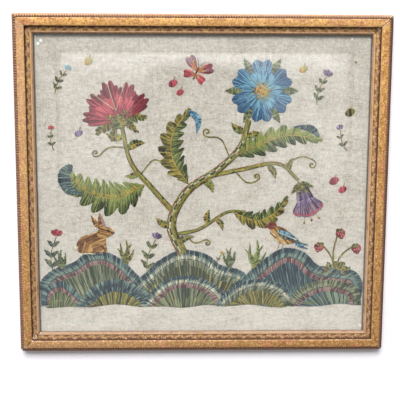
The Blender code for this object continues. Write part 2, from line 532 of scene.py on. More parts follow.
def leaf_height(along, across, pitch):
    """The carved band's running scroll of fine leaves, from 0 in the ground to 1 on top.

    across goes from 0 beside the fascia to 1 beside the lip.
    """
    turn = 2 * math.pi * along / pitch
    swing = 0.54 + 0.20 * np.sin(turn)
    stem = np.exp(-(((across - swing) / 0.07) ** 2))
    lean = np.abs(across - swing) * 1.9 - 0.2 * np.sin(2 * turn)
    stroke = np.mod(along * 3 / pitch + lean, 1.0)
    stroke = np.exp(-(((stroke - 0.5) / 0.21) ** 2))
    reach = np.clip(1.5 - np.abs(across - swing) / 0.34, 0, 1)
    uneven = 0.72 + 0.28 * np.sin(along * 0.37) * np.sin(along * 0.149 + 1.0)
    return np.clip(np.maximum(0.45 * stem, stroke * reach * uneven), 0, 1)


# The rails: name, which way its inner side faces in degrees, its half length and how far
# its outer edge is from the middle, the width of the open mitre at its two ends, how
# dusty its outer edge is and how lit from above, painted as highlight on that edge and
# as shade on its lip, how dirty its outer edge is and how dark in painted shade away from
# the light, and how hazy its broad face is, from 0 to 1
RAILS = (
    ("rail_left", 0, HALF_HEIGHT, HALF_WIDTH, 0.62, 0.06, 0.0, 0.45, 0.5),
    ("rail_bottom", 90, HALF_WIDTH, HALF_HEIGHT, 0.06, 0.62, 0.0, 0.5, 0.3),
    ("rail_right", 180, HALF_HEIGHT, HALF_WIDTH, 0.62, 0.06, 0.0, 0.9, 0.0),
    ("rail_top", 270, HALF_WIDTH, HALF_HEIGHT, 0.06, 0.62, 1.0, 0.0, 0.15),
)
TOP_CORNER_ROUND = 2.2
LOW_CORNER_ROUND = 4.0


def round_corners(x, y):
    """Draws the frame's four outer corners in to worn, rounded ones."""
    corner = np.where(y < 0, LOW_CORNER_ROUND, TOP_CORNER_ROUND)
    reach_x = np.abs(x) - (HALF_WIDTH - corner)
    reach_y = np.abs(y) - (HALF_HEIGHT - corner)
    inside = (reach_x > 0) & (reach_y > 0)
    largest = np.maximum(reach_x, reach_y)
    distance = np.hypot(reach_x, reach_y)
    ratio = np.where(inside, largest / np.maximum(distance, 1e-6), 1.0)
    drawn_x = np.sign(x) * (HALF_WIDTH - corner + reach_x * ratio)
    drawn_y = np.sign(y) * (HALF_HEIGHT - corner + reach_y * ratio)
    return np.where(inside, drawn_x, x), np.where(inside, drawn_y, y)


def rail_stations(half, step):
    """Places along a rail, from -1 to 1, with a few close to each mitre."""
    count = int(2 * half / step) + 1
    even = np.linspace(-1, 1, count)
    close = 1 - np.array([0.5, 1.2, 2.4]) / half
    return np.unique(np.concatenate([even, close, -close]))


def rail_stretch(name, section, step, half, gaps, dust_and_top_light, dirt_and_shade, haze, settings):
    """Points and painted numbers of one stretch of a rail, as a grid along and across it."""
    stations = rail_stations(half, step)
    across = section[:, 0]
    share = np.linspace(0, 1, len(section))[None, :]
    gap = np.where(stations < 0, *gaps)[:, None]
    reach = half - across - gap
    along = stations[:, None] * reach
    to_mitre = (1 - np.abs(stations[:, None])) * reach
    fade = np.clip(to_mitre / 0.6, 0, 1)
    hollow = bead_hollow(along, settings.bead_pitch / MM)
    raised = np.zeros_like(along)
    grime_and_shade = 0.0
    rubbed = 0.0
    dust_and_highlight = 0.0
    # Strip: painted highlight and dust make the top rail's edge pale where light falls from above; dirt
    # and painted shade make the other rails' edges darker, and painted shade darkens the nicks between
    # the beads
    if name == "strip":
        nick = np.clip(2.2 * hollow - 0.5, 0, 1)
        grime_and_shade = dirt_and_shade + (1 - dirt_and_shade) * nick * (1 - dust_and_top_light * (1 - 0.5 * share))
        dust_and_highlight = np.maximum(dust_and_top_light, 0.5 * (1 - dirt_and_shade)) * (1 - 0.4 * nick)
    # Beads: the hollows between them and the ditch beside the fascia are painted dark, as grime and
    # painted shade; their crests are painted pale, as rubbed dust and painted highlight
    if name == "beads":
        raised = -(settings.bead_depth / MM) * hollow * fade
        ditch = np.clip((share - 0.64) / 0.12, 0, 1)
        grime_and_shade = np.maximum(2.4 * hollow - 0.4 + 0.35 * dirt_and_shade, ditch)
        dust_and_highlight = (0.9 - 0.5 * dirt_and_shade) * (1 - hollow) * (1 - ditch)
    if name == "band":
        leaf = leaf_height(along, share, settings.leaf_pitch / MM)
        edge = np.clip(np.minimum(share, 1 - share) / 0.06, 0, 1)
        raised = (settings.carving_depth / MM) * (leaf - 0.45) * edge * fade
        # Band: its outer side under the fascia's step is painted dark as the step's shadow; the
        # carving's ground is painted darker, as grime and painted shade, and its leaves pale
        wave = 0.16 + 0.07 * np.sin(along * 0.83) + 0.06 * np.sin(along * 0.31 + 2.0)
        shade = np.clip((wave - share) / 0.10, 0, 1)
        grime_and_shade = 0.64 - 0.90 * leaf + 0.6 * shade
        rubbed = np.clip(leaf * 1.6 - 0.7, 0, 1)
        dust_and_highlight = 0.95 * leaf * (1 - shade)
    # The groove, the roll's flank and the fascia's step are painted dark all over, as grime and painted
    # shade in these recesses
    if name in ("groove", "flank", "step"):
        grime_and_shade = 1.0
    if name == "fascia":
        edge = np.abs(2 * share - 1)
        rubbed = np.clip((edge - 0.72) / 0.20, 0, 1)
        dust_and_highlight = np.clip((edge - 0.80) / 0.12, 0, 1) * 0.75
        dust_and_highlight = np.maximum(dust_and_highlight, haze * np.clip(0.5 + along / half, 0, 1))
        grime_and_shade = 0.25 * np.clip((edge - 0.96) / 0.04, 0, 1)
    # Lip: its slope beside the glass and its foot beside the band are painted dark as shade, so that
    # its crest reads as a painted highlight; the top rail's lip, facing away from the light, is painted
    # darker still
    if name == "lip":
        rubbed = 0.5 * np.clip((share - 0.2) / 0.3, 0, 1)
        dust_and_highlight = 0.9 - 0.4 * dust_and_top_light
        slope = np.clip((share - 0.32) / 0.16, 0, 1)
        grime_and_shade = np.clip((0.16 - share) / 0.16, 0, 1) + (0.62 - 0.3 * dust_and_top_light) * slope + 0.36 * dust_and_top_light
    outward = section_normals(section)
    points_across = across + raised * outward[:, 0]
    points_height = section[:, 1] + raised * outward[:, 1]
    painted = {
        "grime_and_shade": np.clip(grime_and_shade, 0, 1),
        "rubbed": rubbed,
        "dust_and_highlight": dust_and_highlight,
        "bare": float(name in ("rebate", "back")),
        "chipped": np.clip(1 - to_mitre / 1.4, 0, 1) * (gap > 0.15),
        "outer": np.clip((7.5 - across) / 6, 0, 1),
    }
    painted = {key: values + 0 * along for key, values in painted.items()}
    return along, points_across, points_height, painted


def build_rail(row, gilding, settings):
    """One rail as one mesh of all its stretches and its two mitred ends, dark as painted shade."""
    name, facing, half, reach, low_gap, high_gap, dust_and_top_light, dirt_and_shade, haze = row
    points = []
    faces = []
    painted = {}
    ends = ([], [])
    first = 0
    turn = math.radians(facing)
    for stretch, section, step in moulding_stretches():
        gaps = (low_gap, high_gap)
        parts = rail_stretch(stretch, section, step, half, gaps, dust_and_top_light, dirt_and_shade, haze, settings)
        along, across, height, numbers = parts
        inward = across - reach
        x = inward * math.cos(turn) - along * math.sin(turn)
        y = inward * math.sin(turn) + along * math.cos(turn)
        x, y = round_corners(x, y)
        rows, columns = along.shape
        points.append(np.stack([x.ravel(), y.ravel(), height.ravel()], axis=1) * MM)
        faces.append(grid_faces(rows, columns, first))
        for key, values in numbers.items():
            painted.setdefault(key, []).append(values.ravel())
        ends[0].extend(range(first, first + columns - 1))
        last = first + (rows - 1) * columns
        ends[1].extend(range(last, last + columns - 1))
        first += rows * columns
    points = np.vstack(points)
    all_faces = np.vstack(faces).tolist()
    for ring, way in zip(ends, (-1, 1)):
        face = list(range(len(points), len(points) + len(ring)))
        all_faces.append(face[::way])
        points = np.vstack([points, points[ring]])
        # The two ends are painted dark all over as shade in the open mitres, with no other marks
        for key, values in painted.items():
            values.append(np.full(len(ring), float(key == "grime_and_shade")))
    painted = {key: np.concatenate(values) for key, values in painted.items()}
    return make_mesh(name + "_gilding", points, all_faces, gilding, painted)


def gilding_material(settings):
    """Worn water gilding: leaf over red clay, with soiling and painted shade in the hollows."""
    recipe = Recipe("worn_gilding")
    where = recipe.place()
    patches = recipe.noise(where, 14.0, 3.0, 0.6)
    grain = recipe.noise(where, 2.6, 3.0, 0.65)
    specks = recipe.noise(where, 1.9, 2.0, 0.65)
    thin = recipe.rise(patches * 0.40 + grain * 0.60, 0.42, 0.58)
    gold = recipe.blend(thin, settings.bright_gold, settings.dull_gold)
    # Painted shade: the gold turns darker towards the lower edge
    _, y = recipe.axes(where)
    low = 1 - recipe.rise(y, -200, 170)
    gold = recipe.blend(low * 0.55, gold, settings.lower_shade_gold)

    outer = recipe.painted("outer")
    rubbed = recipe.painted("rubbed")
    wear_noise = recipe.noise(where, 17.0, 3.0, 0.62) * 0.55 + grain * 0.45
    worn = recipe.rise(wear_noise + outer * 0.14 + rubbed * 0.02, 0.53, 0.63)
    clay = recipe.blend(worn * 0.80, gold, settings.red_clay)

    # Painted glints: small bright specks in the leaf's colour
    spark = (1 - recipe.rise(specks, 0.36, 0.46)) * 0.34
    sparked = recipe.blend(spark, clay, settings.leaf_glint)
    fleck = recipe.rise(specks, 0.55, 0.65) * 0.52
    flecked = recipe.blend(fleck, sparked, settings.grime_and_shade_brown)
    # Dirt and painted shade, from the numbers painted on the rail and a little grain
    dirt_and_shade = recipe.rise(recipe.painted("grime_and_shade") + (grain - 0.5) * 0.9, 0.12, 0.85)
    grimed_and_shaded = recipe.blend(dirt_and_shade * 0.93, flecked, settings.grime_and_shade_brown)

    chip_noise = recipe.rise(recipe.noise(where, 2.4, 2.0, 0.7), 0.57, 0.64)
    ragged = recipe.rise(recipe.noise(where, 4.0, 2.0, 0.6), 0.50, 0.57)
    chips = recipe.painted("chipped") * ragged + chip_noise * rubbed * 0.7
    chips = recipe.rise(chips, 0.25, 0.60)
    chipped = recipe.blend(chips, grimed_and_shaded, settings.pale_gesso)

    # Dust and painted highlight, in the pale rubbed colour
    dust_and_highlight = recipe.painted("dust_and_highlight") * recipe.rise(grain * 0.5 + patches * 0.5, 0.32, 0.54)
    chipped = recipe.blend(dust_and_highlight * 0.68, chipped, settings.rub_and_highlight)

    streaks = recipe.noise(recipe.place((0.12, 0.12, 1.0)), 2.0, 3.0, 0.6)
    wood = recipe.blend(streaks, settings.bare_wood, settings.grime_and_shade_brown)
    bare = recipe.painted("bare")
    base = recipe.blend(bare, chipped, recipe.blend(0.55, wood, settings.bare_wood))

    metal = (1 - bare) * (1 - dirt_and_shade * 0.9) * (1 - worn * 0.7) * (1 - chips)
    shine = recipe.relief(grain * 0.5 + specks * 0.5, 0.14)
    return recipe.finish(
        base_color=base,
        metallic=metal * (1 - dust_and_highlight * 0.6) * 0.36,
        roughness=0.58 + thin * 0.08 + dirt_and_shade * 0.20 + bare * 0.12,
        normal=shine,
    )


def board_material(settings):
    """Plain brown board with a faint grain."""
    recipe = Recipe("plain_board")
    streaks = recipe.noise(recipe.place((0.05, 1.0, 1.0)), 3.0, 4.0, 0.6)
    cloud = recipe.noise(recipe.place(), 40.0, 3.0, 0.5)
    dark = tuple(channel * 0.45 for channel in settings.board_wood)
    base = recipe.blend(streaks * 0.6 + cloud * 0.4, dark, settings.board_wood)
    return recipe.finish(
        base_color=base, roughness=0.75 + streaks * 0.15, normal=recipe.relief(streaks, 0.15)
    )


class CREWEL_OT_add_frame(bpy.types.Operator):
    """Adds the four gilt rails with their beads and carved band, and dresses the board"""

    bl_idname = "crewel.add_frame"
    bl_label = "Gilt frame"

    def execute(self, context):
        settings = context.scene.crewel_frame
        gilding = gilding_material(settings)
        for row in RAILS:
            rail = build_rail(row, gilding, settings)
            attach(rail, "root")
            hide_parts(row[0])
        board = frame["nodes"]["backing_board"]
        board.data.materials.clear()
        board.data.materials.append(board_material(settings))
        return {"FINISHED"}


def clear_pane_material(settings):
    """A pane that lets light straight through and mirrors more of it at low angles.

    The share is worked out alike on both sides of a face, so that no light is caught
    inside the pane, which doesn't bend it.
    """
    recipe = Recipe("picture_glass")
    through = recipe.node("BsdfTransparent", None, {"Color": settings.glass_tint})
    mirror = recipe.node("BsdfGlossy", None, {"Color": (1, 1, 1), "Roughness": 0.02})
    facing = recipe.node("LayerWeight", None, {"Blend": 0.5}, "Facing")
    share = facing.math("POWER", 5.0) * 0.95 + 0.05
    mixed = recipe.node("MixShader", None, {0: share, 1: through, 2: mirror})
    return recipe.surface(mixed)


# How far the pane's edges are eased, in millimetres
PANE_EASE = 0.25


def build_pane(material):
    """The glass as a thin pane with slightly eased edges."""
    ease = PANE_EASE * MM
    rings = (
        (ease, GLASS_LOW.z), (0, GLASS_LOW.z + ease), (0, GLASS_HIGH.z - ease), (ease, GLASS_HIGH.z)
    )
    points = []
    for inset, level in rings:
        for side_x, side_y in ((-1, -1), (1, -1), (1, 1), (-1, 1)):
            x = side_x * (GLASS_HIGH.x - inset)
            y = side_y * (GLASS_HIGH.y - inset)
            points.append((x, y, level))
    faces = []
    for ring in range(len(rings) - 1):
        for side in range(4):
            here = ring * 4 + side
            after = ring * 4 + (side + 1) % 4
            faces.append((here, after, after + 4, here + 4))
    faces.append((3, 2, 1, 0))
    faces.append((12, 13, 14, 15))
    return make_mesh("glass_sheet", np.array(points), faces, material, smooth=False)


class CREWEL_OT_add_glass(bpy.types.Operator):
    """Adds the clear pane in front of the cloth"""

    bl_idname = "crewel.add_glass"
    bl_label = "Glass"

    def execute(self, context):
        pane = build_pane(clear_pane_material(context.scene.crewel_cloth))
        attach(pane, "root")
        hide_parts("glass_pane")
        return {"FINISHED"}


def linen_material(settings):
    """Plain-woven linen, uneven in colour and thread, with a few old spots."""
    recipe = Recipe("plain_linen")
    where = recipe.place()
    pitch = settings.thread_pitch / MM
    turn = 2 * math.pi / pitch
    x, y = recipe.axes(where)
    drift = recipe.noise(where, 9.0, 2.0, 0.5) * 3.0
    warp = ((x * turn) + drift).math("SINE")
    weft = ((y * turn) + drift).math("SINE")
    over = (warp * weft) * 0.25 + 0.5
    slub_x = recipe.noise(recipe.place((0.06, 1.0, 1.0)), 0.9, 2.0, 0.6)
    slub_y = recipe.noise(recipe.place((1.0, 0.06, 1.0)), 0.9, 2.0, 0.6)
    cloud = recipe.noise(where, 26.0, 4.0, 0.6)
    mottle = recipe.noise(where, 5.0, 3.0, 0.65)
    grain = recipe.noise(where, 1.7, 2.0, 0.6)
    tone = cloud * 0.17 + mottle * 0.22 + grain * 0.25
    # Painted shade: the last term makes the linen a little darker towards the top and lighter towards
    # the bottom
    tone = tone + slub_x * 0.15 + slub_y * 0.13 + over * 0.08 - y * 0.00014
    tint = recipe.rise(recipe.noise(where, 6.5, 2.0, 0.6), 0.38, 0.62)
    light = recipe.blend(tint, settings.linen_light, settings.linen_cool)
    base = recipe.blend(recipe.rise(tone, 0.39, 0.57), settings.linen_dark, light)

    def from_spot(spot_x, spot_y, radius):
        """The square of how many radii a point is from the middle of a spot."""
        across = x - spot_x
        along = y - spot_y
        return (across * across + along * along) / (radius * radius)

    for spot_x, spot_y, radius, strength in STAINS:
        away = from_spot(spot_x, spot_y, radius) + (mottle - 0.5) * 1.2
        mark = (1 - recipe.rise(away, 0.25, 1.3)) * strength
        base = recipe.blend(mark, base, settings.linen_stain)
    # Painted glints in the corners
    for fleck in GLINT_FLECKS:
        mark = 1 - recipe.rise(from_spot(*fleck), 0.5, 1.1)
        base = recipe.blend(mark, base, settings.linen_glint)
    # Dirt and painted shadow along the rebate, where the lip overhangs the linen
    side_edge = recipe.rise(x.math("ABSOLUTE"), 186.2, 187.9)
    end_edge = recipe.rise((y + 1.0).math("ABSOLUTE"), 169.0, 170.6)
    base = recipe.blend(side_edge.math("MAXIMUM", end_edge) * 0.8, base, settings.linen_edge_dirt_and_shadow)
    weave = over * 0.5 + slub_x * 0.3 + slub_y * 0.3
    fine = recipe.relief(weave, 0.16)
    crumple = recipe.noise(recipe.place((1.0, 1.4, 1.0)), 13.0, 3.0, 0.55)
    return recipe.finish(
        base_color=base, roughness=0.92, normal=recipe.relief(crumple, 1.7, fine)
    )


# From one point of the linen's mesh to the next, in millimetres, and the share of the
# sheet's thickness that the visual has
LINEN_STEP = 2.4
LINEN_SHARE = 0.6


def build_linen(material):
    """The linen as a thin closed sheet with its puckers and ripples."""
    reach_x = LINEN_HIGH.x / MM
    reach_y = LINEN_HIGH.y / MM
    columns = int(2 * reach_x / LINEN_STEP) + 1
    rows = int(2 * reach_y / LINEN_STEP) + 1
    across, along = np.meshgrid(
        np.linspace(-reach_x, reach_x, columns), np.linspace(-reach_y, reach_y, rows)
    )
    top = LINEN_LEVEL + cloth_height(across, along) + cloth_ripple(across, along)
    sheets = []
    for drop in (0.0, LINEN_THICKNESS * LINEN_SHARE):
        level = (top - drop).ravel()
        sheets.append(np.stack([across.ravel(), along.ravel(), level], axis=1))
    points = np.vstack(sheets) * MM
    count = rows * columns
    front = grid_faces(rows, columns)
    behind = grid_faces(rows, columns, count, flip=True)
    rim = np.concatenate([
        np.arange(columns - 1),
        np.arange(columns - 1, count - 1, columns),
        np.arange(count - 1, count - columns, -1),
        np.arange(count - columns, 0, -columns),
    ])
    after = np.roll(rim, -1)
    edge = np.stack([rim, rim + count, after + count, after], axis=1)
    faces = np.vstack([front, behind, edge]).tolist()
    return make_mesh("linen_ground", points, faces, material)


class CREWEL_OT_add_linen(bpy.types.Operator):
    """Adds the linen ground"""

    bl_idname = "crewel.add_linen"
    bl_label = "Linen"

    def execute(self, context):
        linen = build_linen(linen_material(context.scene.crewel_cloth))
        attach(linen, "root")
        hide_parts("embroidered_linen")
        return {"FINISHED"}


# How a stitch is drawn: cross-sections along it and points round each half section
STITCH_RINGS = 5
STITCH_SIDES = 5
RING_SHARES = np.array([0.0, 0.16, 0.5, 0.84, 1.0])
RING_GIRTHS = np.array([0.42, 0.94, 1.0, 0.94, 0.42])
RING_RISES = np.array([-0.10, 0.10, 0.24, 0.10, -0.10])
STITCH_FLATNESS = 0.40
# How uneven the ends of the stitches in a filled shape are, as a share of a stitch
RAGGED = 0.22
# The length of a stitch in a stalk
STALK_RUN = 6.0
# Points on a leaf's spine, and how deep the cuts between its lobes are
LEAF_POINTS = 120
LOBE_DEPTH = 0.5
# How narrow the foot of a petal is, as a share of its spread
PETAL_FOOT = 0.45
# How many times a tendril's tip goes round
CURL_TURNS = 1.3
# A French knot's points round it, and the heights of its rings as angles
KNOT_SIDES = 9
KNOT_TILTS = (0.0, 0.55, 1.1, 1.5)
# The highest that a stitch may stand, just under the glass
PRESSED_LEVEL = GLASS_LOW.z / MM - 0.10


def heading(degrees):
    """A step of one millimetre in a direction, as a complex number."""
    return complex(math.cos(math.radians(degrees)), math.sin(math.radians(degrees)))


def resampled(points, count):
    """A line of complex points again, as this many evenly spaced ones."""
    steps = np.abs(np.diff(points))
    covered = np.concatenate([[0], np.cumsum(steps)])
    even = np.linspace(0, covered[-1], count)
    return np.interp(even, covered, points.real) + 1j * np.interp(even, covered, points.imag)


def line_length(points):
    """The length of a line of complex points."""
    return float(np.abs(np.diff(points)).sum())


def smooth_line(knots, count=60, closed=False):
    """Evenly spaced places on a smooth curve through the knots."""
    knots = np.array(knots, complex)
    if closed:
        knots = np.concatenate([knots[-1:], knots, knots[:2]])
    else:
        knots = np.concatenate([[2 * knots[0] - knots[1]], knots, [2 * knots[-1] - knots[-2]]])
    share = np.linspace(0, 1, 16, endpoint=False)
    dense = []
    for before, start, end, after in zip(knots, knots[1:], knots[2:], knots[3:]):
        bend = share * (3 * (start - end) + after - before)
        bend = share * (2 * before - 5 * start + 4 * end - after + bend)
        dense.append(start + 0.5 * share * (end - before + bend))
    dense.append([knots[-2]])
    return resampled(np.concatenate(dense), count)


def sideways(points):
    """A unit step to the left of a line at each of its points."""
    along = np.gradient(points)
    return 1j * along / np.maximum(np.abs(along), 1e-9)


def inside(outline, place):
    """Whether a place is inside a closed outline of complex points."""
    after = np.roll(outline, -1)
    above = outline.imag > place.imag
    crosses = above != (after.imag > place.imag)
    rise = np.where(after.imag == outline.imag, 1e-9, after.imag - outline.imag)
    meets = outline.real + (place.imag - outline.imag) * (after.real - outline.real) / rise
    return bool(np.count_nonzero(crosses & (place.real < meets)) % 2)


class Wools:
    """The stitches of one piece of the design, kept until they become one mesh."""

    def __init__(self, seed, settings):
        self.random = np.random.default_rng(seed)
        self.settings = settings
        self.thick = settings.thickness / MM
        self.rows = []
        self.knots = []
        self.covered = []
        self.vary = 0.16
        self.pale = 0.18

    def streaks(self, count):
        """How much lighter each of many stitches side by side is, two by two."""
        pairs = self.random.normal(0, self.vary, count // 2 + 1)
        chance = self.random.uniform(0, 1, len(pairs))
        pairs += 0.5 * (chance < self.pale) - 0.4 * (chance > 1 - self.pale * 0.8)
        return np.repeat(pairs, 2)[:count]

    def shade(self, stops, share, streak=0.0):
        """A wool colour near a share of the way through stops like ("crimson", 0.4)."""
        where = share * (len(stops) - 1) + self.random.normal(0, 0.30)
        first = int(np.clip(round(where), 0, len(stops) - 1))
        name, light = stops[first]
        light = float(np.clip(light + streak + self.random.normal(0, self.vary), 0, 1))
        dark = np.array(getattr(self.settings, name + "_dark"))
        bright = np.array(getattr(self.settings, name + "_light"))
        mixed = np.sqrt(dark) * (1 - light) + np.sqrt(bright) * light
        return np.clip(mixed**2 * self.random.normal(1.0, 0.12), 0, 1)

    def stitch(self, start, end, tint, lift=0.0, width=None):
        """One straight stitch between two places, unless one thing covers both its ends."""
        for outline in self.covered:
            if inside(outline, start) and inside(outline, end):
                return
        width = (width or self.thick) * self.random.uniform(0.9, 1.1)
        lift = lift + self.random.uniform(-0.03, 0.05)
        self.rows.append((start.real, start.imag, end.real, end.imag, width, lift, *tint))

    def knot(self, place, radius, stops, lift=0.2):
        """A French knot."""
        tint = self.shade(stops, self.random.uniform(0, 1))
        self.knots.append((place.real, place.imag, radius, lift, *tint))

    def cover(self, inner, outer, stops, row=7.0, lift=0.0, pitch=0.80, fringe=0.0):
        """Long and short stitches that run from an inner line to an outer one.

        Their inner ends run past the inner line by up to the fringe.
        """
        longest = max(line_length(inner), line_length(outer))
        count = max(2, int(longest / (self.thick * pitch)) + 1)
        inner = resampled(inner, count)
        outer = resampled(outer, count)
        crowded = line_length(inner) < 0.6 * line_length(outer)
        streaks = self.streaks(count)
        for column in range(count):
            start = inner[column]
            reach = outer[column] - start
            far = abs(reach)
            if far < 0.9:
                continue
            rows = max(1, round(far / row))
            cuts = np.linspace(0, 1, rows + 1)
            if rows > 1:
                step = (column % 2 - 0.5) * 0.35 / rows
                cuts[1:-1] += step + self.random.uniform(-RAGGED, RAGGED, rows - 1) / rows
            for index in range(rows):
                if crowded and rows > 1 and index == 0 and column % 2:
                    continue
                low = cuts[index] - (0.9 / far if index else self.random.uniform(0, fringe) / far)
                high = cuts[index + 1] + self.random.uniform(-0.5, 0.3) / far
                tint = self.shade(stops, (low + high) / 2, streaks[column])
                self.stitch(start + reach * low, start + reach * high, tint, lift)

    def strand(self, path, stops, share, lift, step, slant, reach, width=None, closes=False):
        """One row of slanting stitches along a path, each beside the end of the last.

        The last stitch ends on the path's own end if the row closes.
        """
        count = max(2, int(line_length(path) / step) + 1)
        even = resampled(path, count)
        lean = sideways(even)
        for index in range(count - 1):
            last = min(index + 2, count - 1)
            start = even[index] - lean[index] * slant
            end = even[index] + (even[last] - even[index]) * reach + lean[last] * slant
            if closes and last == index + 1:
                end = even[last]
            self.stitch(start, end, self.shade(stops, share), lift, width)

    def line(self, points, stops, strands=1, lift=0.25, run=4.6, width=None):
        """Stem stitch along a line, in one or more strands side by side."""
        width = width or self.thick
        side = sideways(points)
        for strand in range(strands):
            offset = (strand - (strands - 1) / 2) * width * 0.85
            share = (strand + 0.5) / strands
            path = points + side * offset
            self.strand(path, stops, share, lift, run * 0.62, 0.18, 0.86, width, closes=True)

    def stem(self, knots, start_width, end_width, stops, lift=0.1):
        """A tapering stalk of stem stitch, shaded from one side to the other."""
        points = smooth_line(knots, 80)
        side = sideways(points)
        taper = np.linspace(start_width, end_width, len(points)) / 2
        strands = max(1, round(max(start_width, end_width) / (self.thick * 0.82)))
        for strand in range(strands):
            spot = (strand + 0.5) / strands * 2 - 1
            path = points + side * taper * spot
            self.strand(path, stops, (spot + 1) / 2, lift, STALK_RUN * 0.6, 0.15, 0.85)
        return points

    def fill(self, outline, angle, stops, row=6.0, lift=0.1):
        """Covers a closed outline with stitches in one direction.

        The shade follows the place across the outline, from its low side to its high one.
        """
        turn = heading(-angle)
        turned = outline * turn
        low = turned.imag.min()
        high = turned.imag.max()
        pitch = self.thick * 0.80
        count = max(1, int((high - low) / pitch))
        after = np.roll(turned, -1)
        streaks = self.streaks(count)
        for index in range(count):
            level = low + (index + 0.5) * (high - low) / count
            crossing = (turned.imag > level) != (after.imag > level)
            first = turned[crossing]
            second = after[crossing]
            meets = first.real + (level - first.imag) * (second.real - first.real) / (
                second.imag - first.imag
            )
            meets = np.sort(meets)
            for begin, end in zip(meets[::2], meets[1::2]):
                far = end - begin
                if far < 0.8:
                    continue
                rows = max(1, round(far / row))
                cuts = begin + far * np.linspace(0, 1, rows + 1)
                if rows > 1:
                    shift = (index % 2 - 0.5) * 0.4 * far / rows
                    cuts[1:-1] += shift + self.random.uniform(-0.8, 0.8, rows - 1)
                for piece in range(rows):
                    left = cuts[piece] - (0.8 if piece else 0.0)
                    right = cuts[piece + 1]
                    share = (level - low) / max(high - low, 1e-6)
                    tint = self.shade(stops, share, streaks[index])
                    start = complex(left, level) / turn
                    stop = complex(right, level + self.random.uniform(-0.2, 0.2)) / turn
                    self.stitch(start, stop, tint, lift)

    def leaf(self, knots, width, upper, lower, vein=None, lobes=0, lift=0.1):
        """A leaf of slanting stitches on each side of a spine, plain or with rounded lobes."""
        spine = smooth_line(knots, LEAF_POINTS)
        share = np.linspace(0, 1, LEAF_POINTS)
        half = 0.5 * width * np.sin(math.pi * share**0.72) ** 0.85
        side = sideways(spine)
        root = np.clip(share - 0.16 * (1 - share * 0.6), 0, 1)
        edges = {}
        for sign in (1, -1):
            reach = half
            ahead = share
            if lobes:
                wave = np.abs(np.sin(math.pi * (share * lobes + (0.35 if sign < 0 else 0.0))))
                reach = half * (1 - LOBE_DEPTH + LOBE_DEPTH * 1.25 * wave**0.8)
                ahead = np.clip(share + 0.42 / lobes * wave, 0, 1)
            edge = spine + sign * side * reach
            edges[sign] = edge + (self.along(spine, ahead) - spine)
        roots = self.along(spine, root)
        for sign, stops in ((1, upper), (-1, lower)):
            self.cover(roots, edges[sign], stops, row=6.5, lift=lift)
        if vein:
            shown = spine[: int(LEAF_POINTS * 0.92)]
            self.line(shown, vein, 1, lift + 0.32, width=self.thick * 0.8)

    @staticmethod
    def along(points, shares):
        """The places at shares from 0 to 1 of an evenly spaced line."""
        even = np.linspace(0, 1, len(points))
        return np.interp(shares, even, points.real) + 1j * np.interp(shares, even, points.imag)

    def petal(self, base, angle, start, reach, spread, stops, lobes=0, notch=0.12, lift=0.1,
              blunt=2.6):
        """A rounded petal of long and short stitches that spread from its base."""
        share = np.linspace(-1, 1, 70)
        swell = (1 - np.abs(share) ** blunt) ** (1 / blunt)
        if lobes:
            swell = swell * (1 - notch * np.abs(np.cos(lobes * math.pi * (share + 1) / 2)) ** 3)
        turn = np.radians(angle + share * spread / 2)
        outer = base + (start + (reach - start) * swell) * np.exp(1j * turn)
        turn_in = np.radians(angle + share * spread / 2 * PETAL_FOOT)
        inner = base + start * np.exp(1j * turn_in)
        self.cover(inner, outer, stops, lift=lift)

    def tendril(self, knots, stops, way, size):
        """A thin stalk that ends in a curl, to the left if way is 1 and the right if -1."""
        points = smooth_line(knots, 50)
        ahead = points[-1] - points[-2]
        ahead = ahead / abs(ahead)
        angle = np.linspace(0, 2 * math.pi * CURL_TURNS, 50)
        radius = size * (1 - 0.8 * angle / angle[-1])
        middle = points[-1] + way * 1j * ahead * size
        spiral = middle - way * 1j * ahead * radius * np.exp(1j * way * angle)
        points = np.concatenate([points, spiral[1:]])
        self.line(points, stops, 2, 0.15, run=4.0, width=self.thick * 0.8)

    def berry(self, place, radius, stops, angle=0.0, stretch=1.0, lift=0.2):
        """A round or oval spot of satin stitch."""
        ring = np.exp(1j * np.linspace(0, 2 * math.pi, 28, endpoint=False))
        outline = place + radius * (ring.real * stretch + 1j * ring.imag) * heading(angle)
        self.fill(outline, angle + 65, stops, row=20.0, lift=lift)

    def stitch_parts(self):
        """Points, colours and twists of all the stitches, each a rounded half tube."""
        rows = np.array(self.rows)
        start = rows[:, 0] + 1j * rows[:, 1]
        reach = rows[:, 2] + 1j * rows[:, 3] - start
        far = np.maximum(np.abs(reach), 1e-6)
        side = 1j * reach / far
        wide = rows[:, 4]
        angle = np.linspace(0, math.pi, STITCH_SIDES)
        spread = np.cos(angle)[None, None, :]
        swell = np.sin(angle)[None, None, :]
        girth = RING_GIRTHS[None, :, None]
        share = RING_SHARES[None, :, None]
        place = start[:, None, None] + reach[:, None, None] * share
        place = place + (side * (wide / 2))[:, None, None] * spread * girth
        level = LINEN_LEVEL + cloth_height(place.real, place.imag)
        level = level + cloth_ripple(place.real, place.imag) + rows[:, 5][:, None, None]
        level = level + RING_RISES[None, :, None] * np.minimum(1, far / 4)[:, None, None]
        level = level + swell * girth * (wide * STITCH_FLATNESS)[:, None, None]
        level = np.minimum(level, PRESSED_LEVEL)
        points = np.stack([place.real, place.imag, level], axis=-1).reshape(-1, 3)
        along = share * far[:, None, None] + 0 * swell
        around = angle[None, None, :] + 0 * along
        twists = np.stack([along.ravel(), around.ravel()], axis=1)
        return points, np.repeat(rows[:, 6:9], STITCH_RINGS * STITCH_SIDES, axis=0), twists

